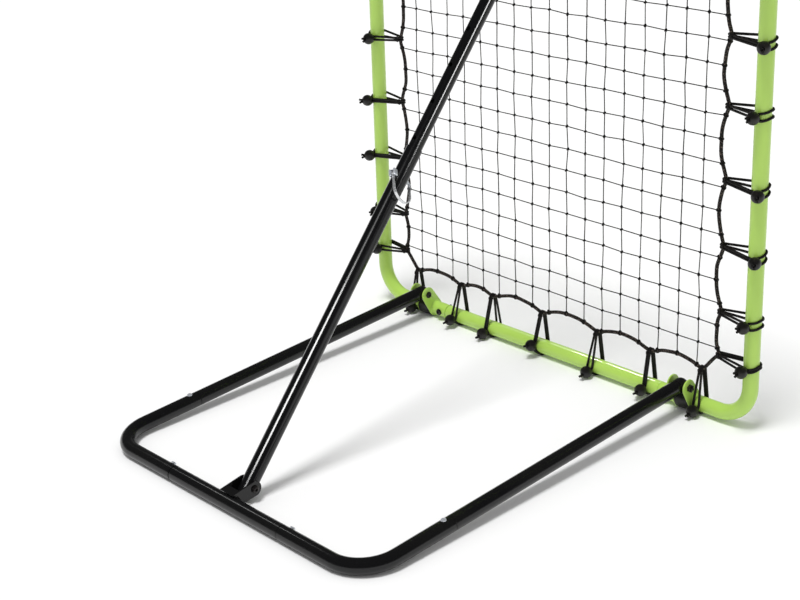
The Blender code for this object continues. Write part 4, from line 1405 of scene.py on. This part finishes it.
def rope_crossing(axis, value, high):
    """Where the rope crosses x = value or z = value, on its high or its low side."""
    middle = half_span if axis == 0 else 0.0
    for start, end in zip(rope_line, rope_line[1:] + rope_line[:1]):
        if (start[axis] - value) * (end[axis] - value) <= 0 and start[axis] != end[axis]:
            spot = start.lerp(end, (value - start[axis]) / (end[axis] - start[axis]))
            if (spot[2 - axis] > middle) == high:
                return spot, (end - start).normalized()


def finer(route):
    """Splits each stretch of a string, so that its knots can bend it softly."""
    return [
        start.lerp(end, part / string_parts) for start, end in zip(route, route[1:])
        for part in range(string_parts)
    ] + route[-1:]


lines = [(0, column * column_pitch, Z, [(column, row) for row in reversed(rows)]) for column in columns]
lines += [(2, middle_row - row * row_pitch, X, [(column, row) for column in columns]) for row in rows]
ends, strings = [], []
for axis, value, inward, spots in lines:
    low, high = (rope_crossing(axis, value, which) for which in (False, True))
    strings.append([low[0], *(crossing(*spot) for spot in spots), high[0]])
    ends += [low + (inward,), high + (-inward,)]

# The second colour is painted shade in the gaps of the twist, and the third paints faint glints as
# light flecks.
twine_cover = finish(
    "twisted_twine", plaited_cord,
    ((0.009, 0.008, 0.0075), (0.003, 0.003, 0.003), (0.02, 0.016, 0.014), 300, 1, 0.0002, 0.8),
    specular=0.3,
)
cord_piece("net_strings", [finer(s) for s in strings], string_r, 1, False, twine_cover, ["net"])
print(len(strings), "strings,", len(columns) * len(rows), "crossings and", len(ends), "rope ends")

# %% Knots at the crossings and on the rope
knot_r, turn_shift, turn_lift, lump_lift, lump_r = 0.0032, 0.0009, 0.0004, 0.0006, 0.0023


def rope_knot():
    """Two turns of twine round Z, the rope's way, with a lump on the side of X."""
    bm = bmesh.new()
    for shift in (-turn_shift, turn_shift):
        turn_at = Matrix.Translation((rope_r + turn_lift, 0, shift))
        ring = bmesh.ops.create_circle(
            bm, cap_ends=False, segments=6, radius=string_r,
            matrix=turn_at @ Matrix.Rotation(math.pi / 2, 4, "X"),
        )["verts"]
        spin_shut(bm, ring + edges_of(ring), Z * shift, Z, 14)
    lump = Matrix.Translation(X * (rope_r + lump_lift)) @ Matrix.Diagonal((1, 1, 1.3, 1))
    bmesh.ops.create_uvsphere(bm, u_segments=8, v_segments=6, radius=lump_r, matrix=lump)
    return bm


knot_places = []
for column in columns:
    for row in rows:
        tilt = noise.noise(Vector((column * 3.7, row * 5.3, 0.5)))
        turn = Matrix.Rotation(0.8 + tilt, 4, "Y")
        lumpy = Matrix.Diagonal((1.25, 0.85, 0.8 + 0.2 * tilt, 1))
        knot_places.append(Matrix.Translation(crossing(column, row)) @ turn @ lumpy)
rope_places = []
for spot, along, inward in ends:
    aside = along.cross(inward).normalized()
    turn = Matrix((aside.cross(along), aside, along)).transposed().to_4x4()
    rope_places.append(Matrix.Translation(spot) @ turn)
knot = bmesh.new()
bmesh.ops.create_uvsphere(knot, u_segments=7, v_segments=5, radius=knot_r)
for name, shape, places in (("net", knot, knot_places), ("rope", rope_knot(), rope_places)):
    knots = copies(shape, places)
    finish_piece(f"{name}_knots", knots, twine_cover, "net_frame", (), net_plane, 80)
    print(name, "knots have", len(bpy.data.meshes[f"{name}_knots"].polygons), "faces")
